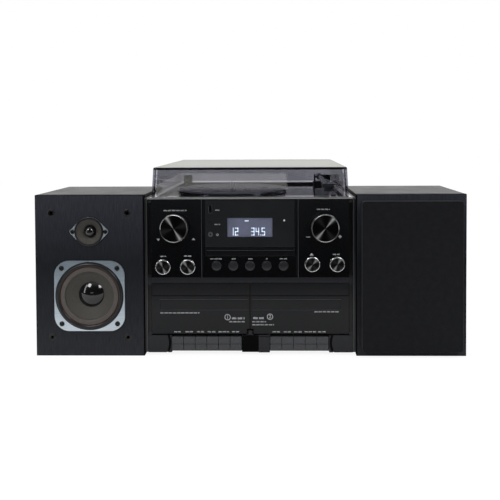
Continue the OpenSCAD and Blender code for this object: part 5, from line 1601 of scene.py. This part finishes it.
@dataclass
class CassetteDoor:
    """A cassette deck's door with its window band and print.

    Each row of ticks has a left end, a right end, a height and a size. The rows over the keys have their ends
    as columns of the photo, in pixels.
    """

    side: str
    digit: str
    digit_at: Spot
    rows: tuple[tuple[float, ...], ...]
    key_columns: tuple[Spot, ...]
    key_ticks_z: float = 38.9
    column_centre: float = 250.0
    column_mm: float = 1.611
    band_z: tuple[float, float] = (74.2, 91.2)
    band_h: float = 0.5
    band_ends: tuple[float, float] = (14.0, 2.0)

    def build(self) -> None:
        """Make the door, its print and the fine painted highlights along the edges of its window band."""
        node = f"{self.side}_deck_door"
        low, high = corners(node)
        ease(node, f"{self.side}_door_panel", "door_black", node, 0.4)
        marks = Print(low.y)
        for row in self.rows:
            marks.ticks(*row)
        marks.ring(*self.digit_at, 4.9, 1.0).numeral(self.digit, *self.digit_at, 5.6)
        for columns in self.key_columns:
            left, right = ((column - self.column_centre) * self.column_mm for column in columns)
            marks.ticks(left, right, self.key_ticks_z, 1.9)
        marks.piece(f"{self.side}_door_print", node, "door_black")
        first, last = self.band_ends if self.side == "left" else reversed(self.band_ends)
        left, right = low.x + first, high.x - last
        band_highlights = Shape()
        for z in self.band_z:
            band_highlights.block((left, low.y - 0.05, z), (right, low.y + 0.05, z + self.band_h))
        band_highlights.piece(f"{self.side}_door_band_highlights", "highlight_grey", node, slot="door_black")


CASSETTE_DOORS = (
    CassetteDoor("left", "1", (-36.6, 62.6), (
        (-145.3, -81.8, 69.6, 1.9), (-29.6, -8.7, 60.8, 3.2, 1.9), (-33.8, -8.7, 55.2, 1.9)), (
        (173.6, 180.2), (184.8, 192.6), (196.4, 204.4), (207.3, 216), (218.2, 229), (231.6, 239.7))),
    CassetteDoor("right", "2", (31.9, 63.4), (
        (103.7, 142.7, 71.4, 1.9), (4.8, 24.2, 61.1, 3.2, 1.9), (3.2, 25.8, 55.2, 1.9),
        (3.2, 38.2, 50.3, 1.9)), (
        (272.5, 279.8), (283.6, 291.6), (294, 302.6), (304.4, 316), (317.9, 326.5))),
)


@dataclass
class PianoKeys:
    """The keys of both cassette decks and the transports behind them."""

    edge: float = 0.45

    def build(self) -> None:
        """Make each key with broken edges, and dress the transports."""
        for name in sorted(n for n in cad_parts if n.startswith("key_")):
            ease(name, f"{name}_moulding", "key_black", name, self.edge, "button_black")
        dress("tape_transports", "steel_plain")


@dataclass
class RecordDeck:
    """Plinth, platter, motor and what stands on the deck."""

    body: str = "main_unit"
    rim_inset: float = 0.3
    # The outline of the painted highlight strip along the plinth's front edge.
    rim_highlight_line: tuple[Spot, ...] = ((-0.1, -2.2), (-0.1, -0.9), (0.2, -0.1), (0.9, 0.1), (3.0, 0.1))
    mat_r: float = 101.0
    spindle_r: float = 4.0
    hinge_zone: float = 40.0

    def build(self) -> None:
        """Make and dress the deck."""
        ease("deck_plinth", "deck_top", "plinth_black", self.body, 0.5)
        low, high = corners("deck_plinth")
        # Painted highlight: a pale strip along the plinth's front edge.
        ends = (low.x + self.rim_inset, high.x - self.rim_inset)
        Shape().hulled([(x, low.y + dy, high.z + dz) for x in ends for dy, dz in self.rim_highlight_line]).piece(
            "deck_front_rim_highlight", "rim_highlight_grey", self.body, slot="plinth_black")
        at = middle("platter")
        mat = GroovedMat("platter_black", (at.x, at.y, corners("platter")[1].z), self.mat_r, self.spindle_r)
        ease("platter", "platter_disc", mat, "platter", 0.0, "platter_black")
        dress("turntable_motor", "steel_plain")
        rear = high.y - self.hinge_zone
        Shape().copied("deck_fittings", 0.3, Region(low=(-math.inf, rear, 0))).piece(
            "cover_hinge_posts", "hinge_black", self.body, "deck_fittings", slot="deck_metal")
        Shape().copied("deck_fittings", 0.3, Region(high=(math.inf, rear, math.inf))).piece(
            "arm_rest_post", "deck_metal", self.body)
        ease("speed_switch", "speed_slider", "lever_metal", "speed_switch", 0.4)
        ease("cue_lever", "lift_lever", "lever_metal", "cue_lever", 0.3)


@dataclass
class Tonearm:
    """The arm and its turning base."""

    base_edge: float = 0.4
    arm_edge: float = 0.35

    def build(self) -> None:
        """Make the base and the arm."""
        ease("arm_gimbal", "arm_base", "arm_black", "arm_gimbal", self.base_edge)
        ease("tonearm", "arm_tube", "arm_metal", "tonearm", self.arm_edge)


@dataclass
class DustCover:
    """The smoked cover: a leaning box with round corners, and its hinge lugs."""

    wall: float = 3.0
    lean: float = 2.5
    corner: float = 7.0
    top_edge: float = 2.5
    lug_w: float = 8.0
    lug_r: float = 5.0
    pin_back: float = 6.5
    pin_up: float = 10.0
    hinge_inset: float = 12.5

    def build(self) -> None:
        """Make the shell and the lugs."""
        low, high = corners("dust_cover")
        rear = high.y - self.lug_r - self.pin_back
        outline = rectangle(low.x, high.x, low.y, rear, self.corner)
        shape = Shape().plate(outline, -high.z, high.z - low.z)
        bmesh.ops.rotate(shape.bm, cent=(0, 0, 0), matrix=Matrix.Rotation(-math.pi / 2, 3, "X"),
                         verts=shape.bm.verts)
        half, deep, mid_x = (high.x - low.x) / 2, rear - low.y, (high.x + low.x) / 2
        tops = [v for v in shape.bm.verts if v.co.z > (low.z + high.z) / 2]
        bmesh.ops.translate(shape.bm, vec=(-mid_x, -rear, 0), verts=tops)
        bmesh.ops.scale(shape.bm, vec=(1 - self.lean / half, 1 - self.lean / deep, 1), verts=tops)
        bmesh.ops.translate(shape.bm, vec=(mid_x, rear, 0), verts=tops)
        shape.bevel({e for e in shape.bm.edges if all(v in tops for v in e.verts)}, self.top_edge, 4)
        slope = self.lean / (high.z - low.z)
        smoke = Smoke("cover_smoke", "cdcdd1", tuple(low), tuple(high), slope, self.wall)
        shape.opened(low.z, 2, self.wall).piece("smoked_cover", smoke, "dust_cover", "dust_cover",
                                                slot="cover_smoke")
        self.lugs(rear, high)

    def lugs(self, rear: float, high: Vector) -> None:
        """Make two lugs behind the rear wall that turn on the hinge pins.

        Args:
            rear: Y of the cover's rear wall.
            high: The cover's highest corner.
        """
        shape = Shape()
        pin_y, pin_z = high.y - self.lug_r, corners("deck_plinth")[1].z + self.pin_up
        root = [(rear - 0.2, pin_z + self.lug_r), (rear - 0.2, pin_z - self.lug_r)]
        outline = arc(pin_y, pin_z, self.lug_r, -90, 90, 10) + root
        hinge_x, half = high.x - self.hinge_inset, self.lug_w / 2
        for x in (-hinge_x, hinge_x):
            shape.hulled([(x + side * half, y, z) for y, z in outline for side in (-1, 1)])
        shape.piece("cover_lugs", "hinge_black", "dust_cover", slot="cover_smoke")


@dataclass
class Insides:
    """What stands inside the casing."""

    board_up: float = 8.8
    board_t: float = 1.4

    def build(self) -> None:
        """Dress the circuit boards and the transformer."""
        low, _ = corners("electronics")
        dress("electronics", BoardFinish("electronics_green", 2, low.z + self.board_up, self.board_t))


def main() -> None:
    """Build the looks round the frame, one sub-assembly after another."""
    logging.basicConfig(level=logging.INFO, format="%(message)s")
    controls = [Knob(node, streak) for node, streak in KNOBS.items()]
    controls += [PushButton(node, streak) for node, streak in ROUND_BUTTONS.items()]
    controls += [DiscButton(f"cd_button_{i + 1}") for i in range(5)]
    for part in (Studio(), SpeakerBox("left"), SpeakerBox("right"), Grille(), Casing(), FrontPanel(),
                 *controls, DiscDrawer(), *CASSETTE_DOORS, PianoKeys(), RecordDeck(), Tonearm(), DustCover(),
                 Insides()):
        part.build()
        log.info("built %s", type(part).__name__)
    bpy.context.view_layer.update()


if __name__ == "__main__":
    main()
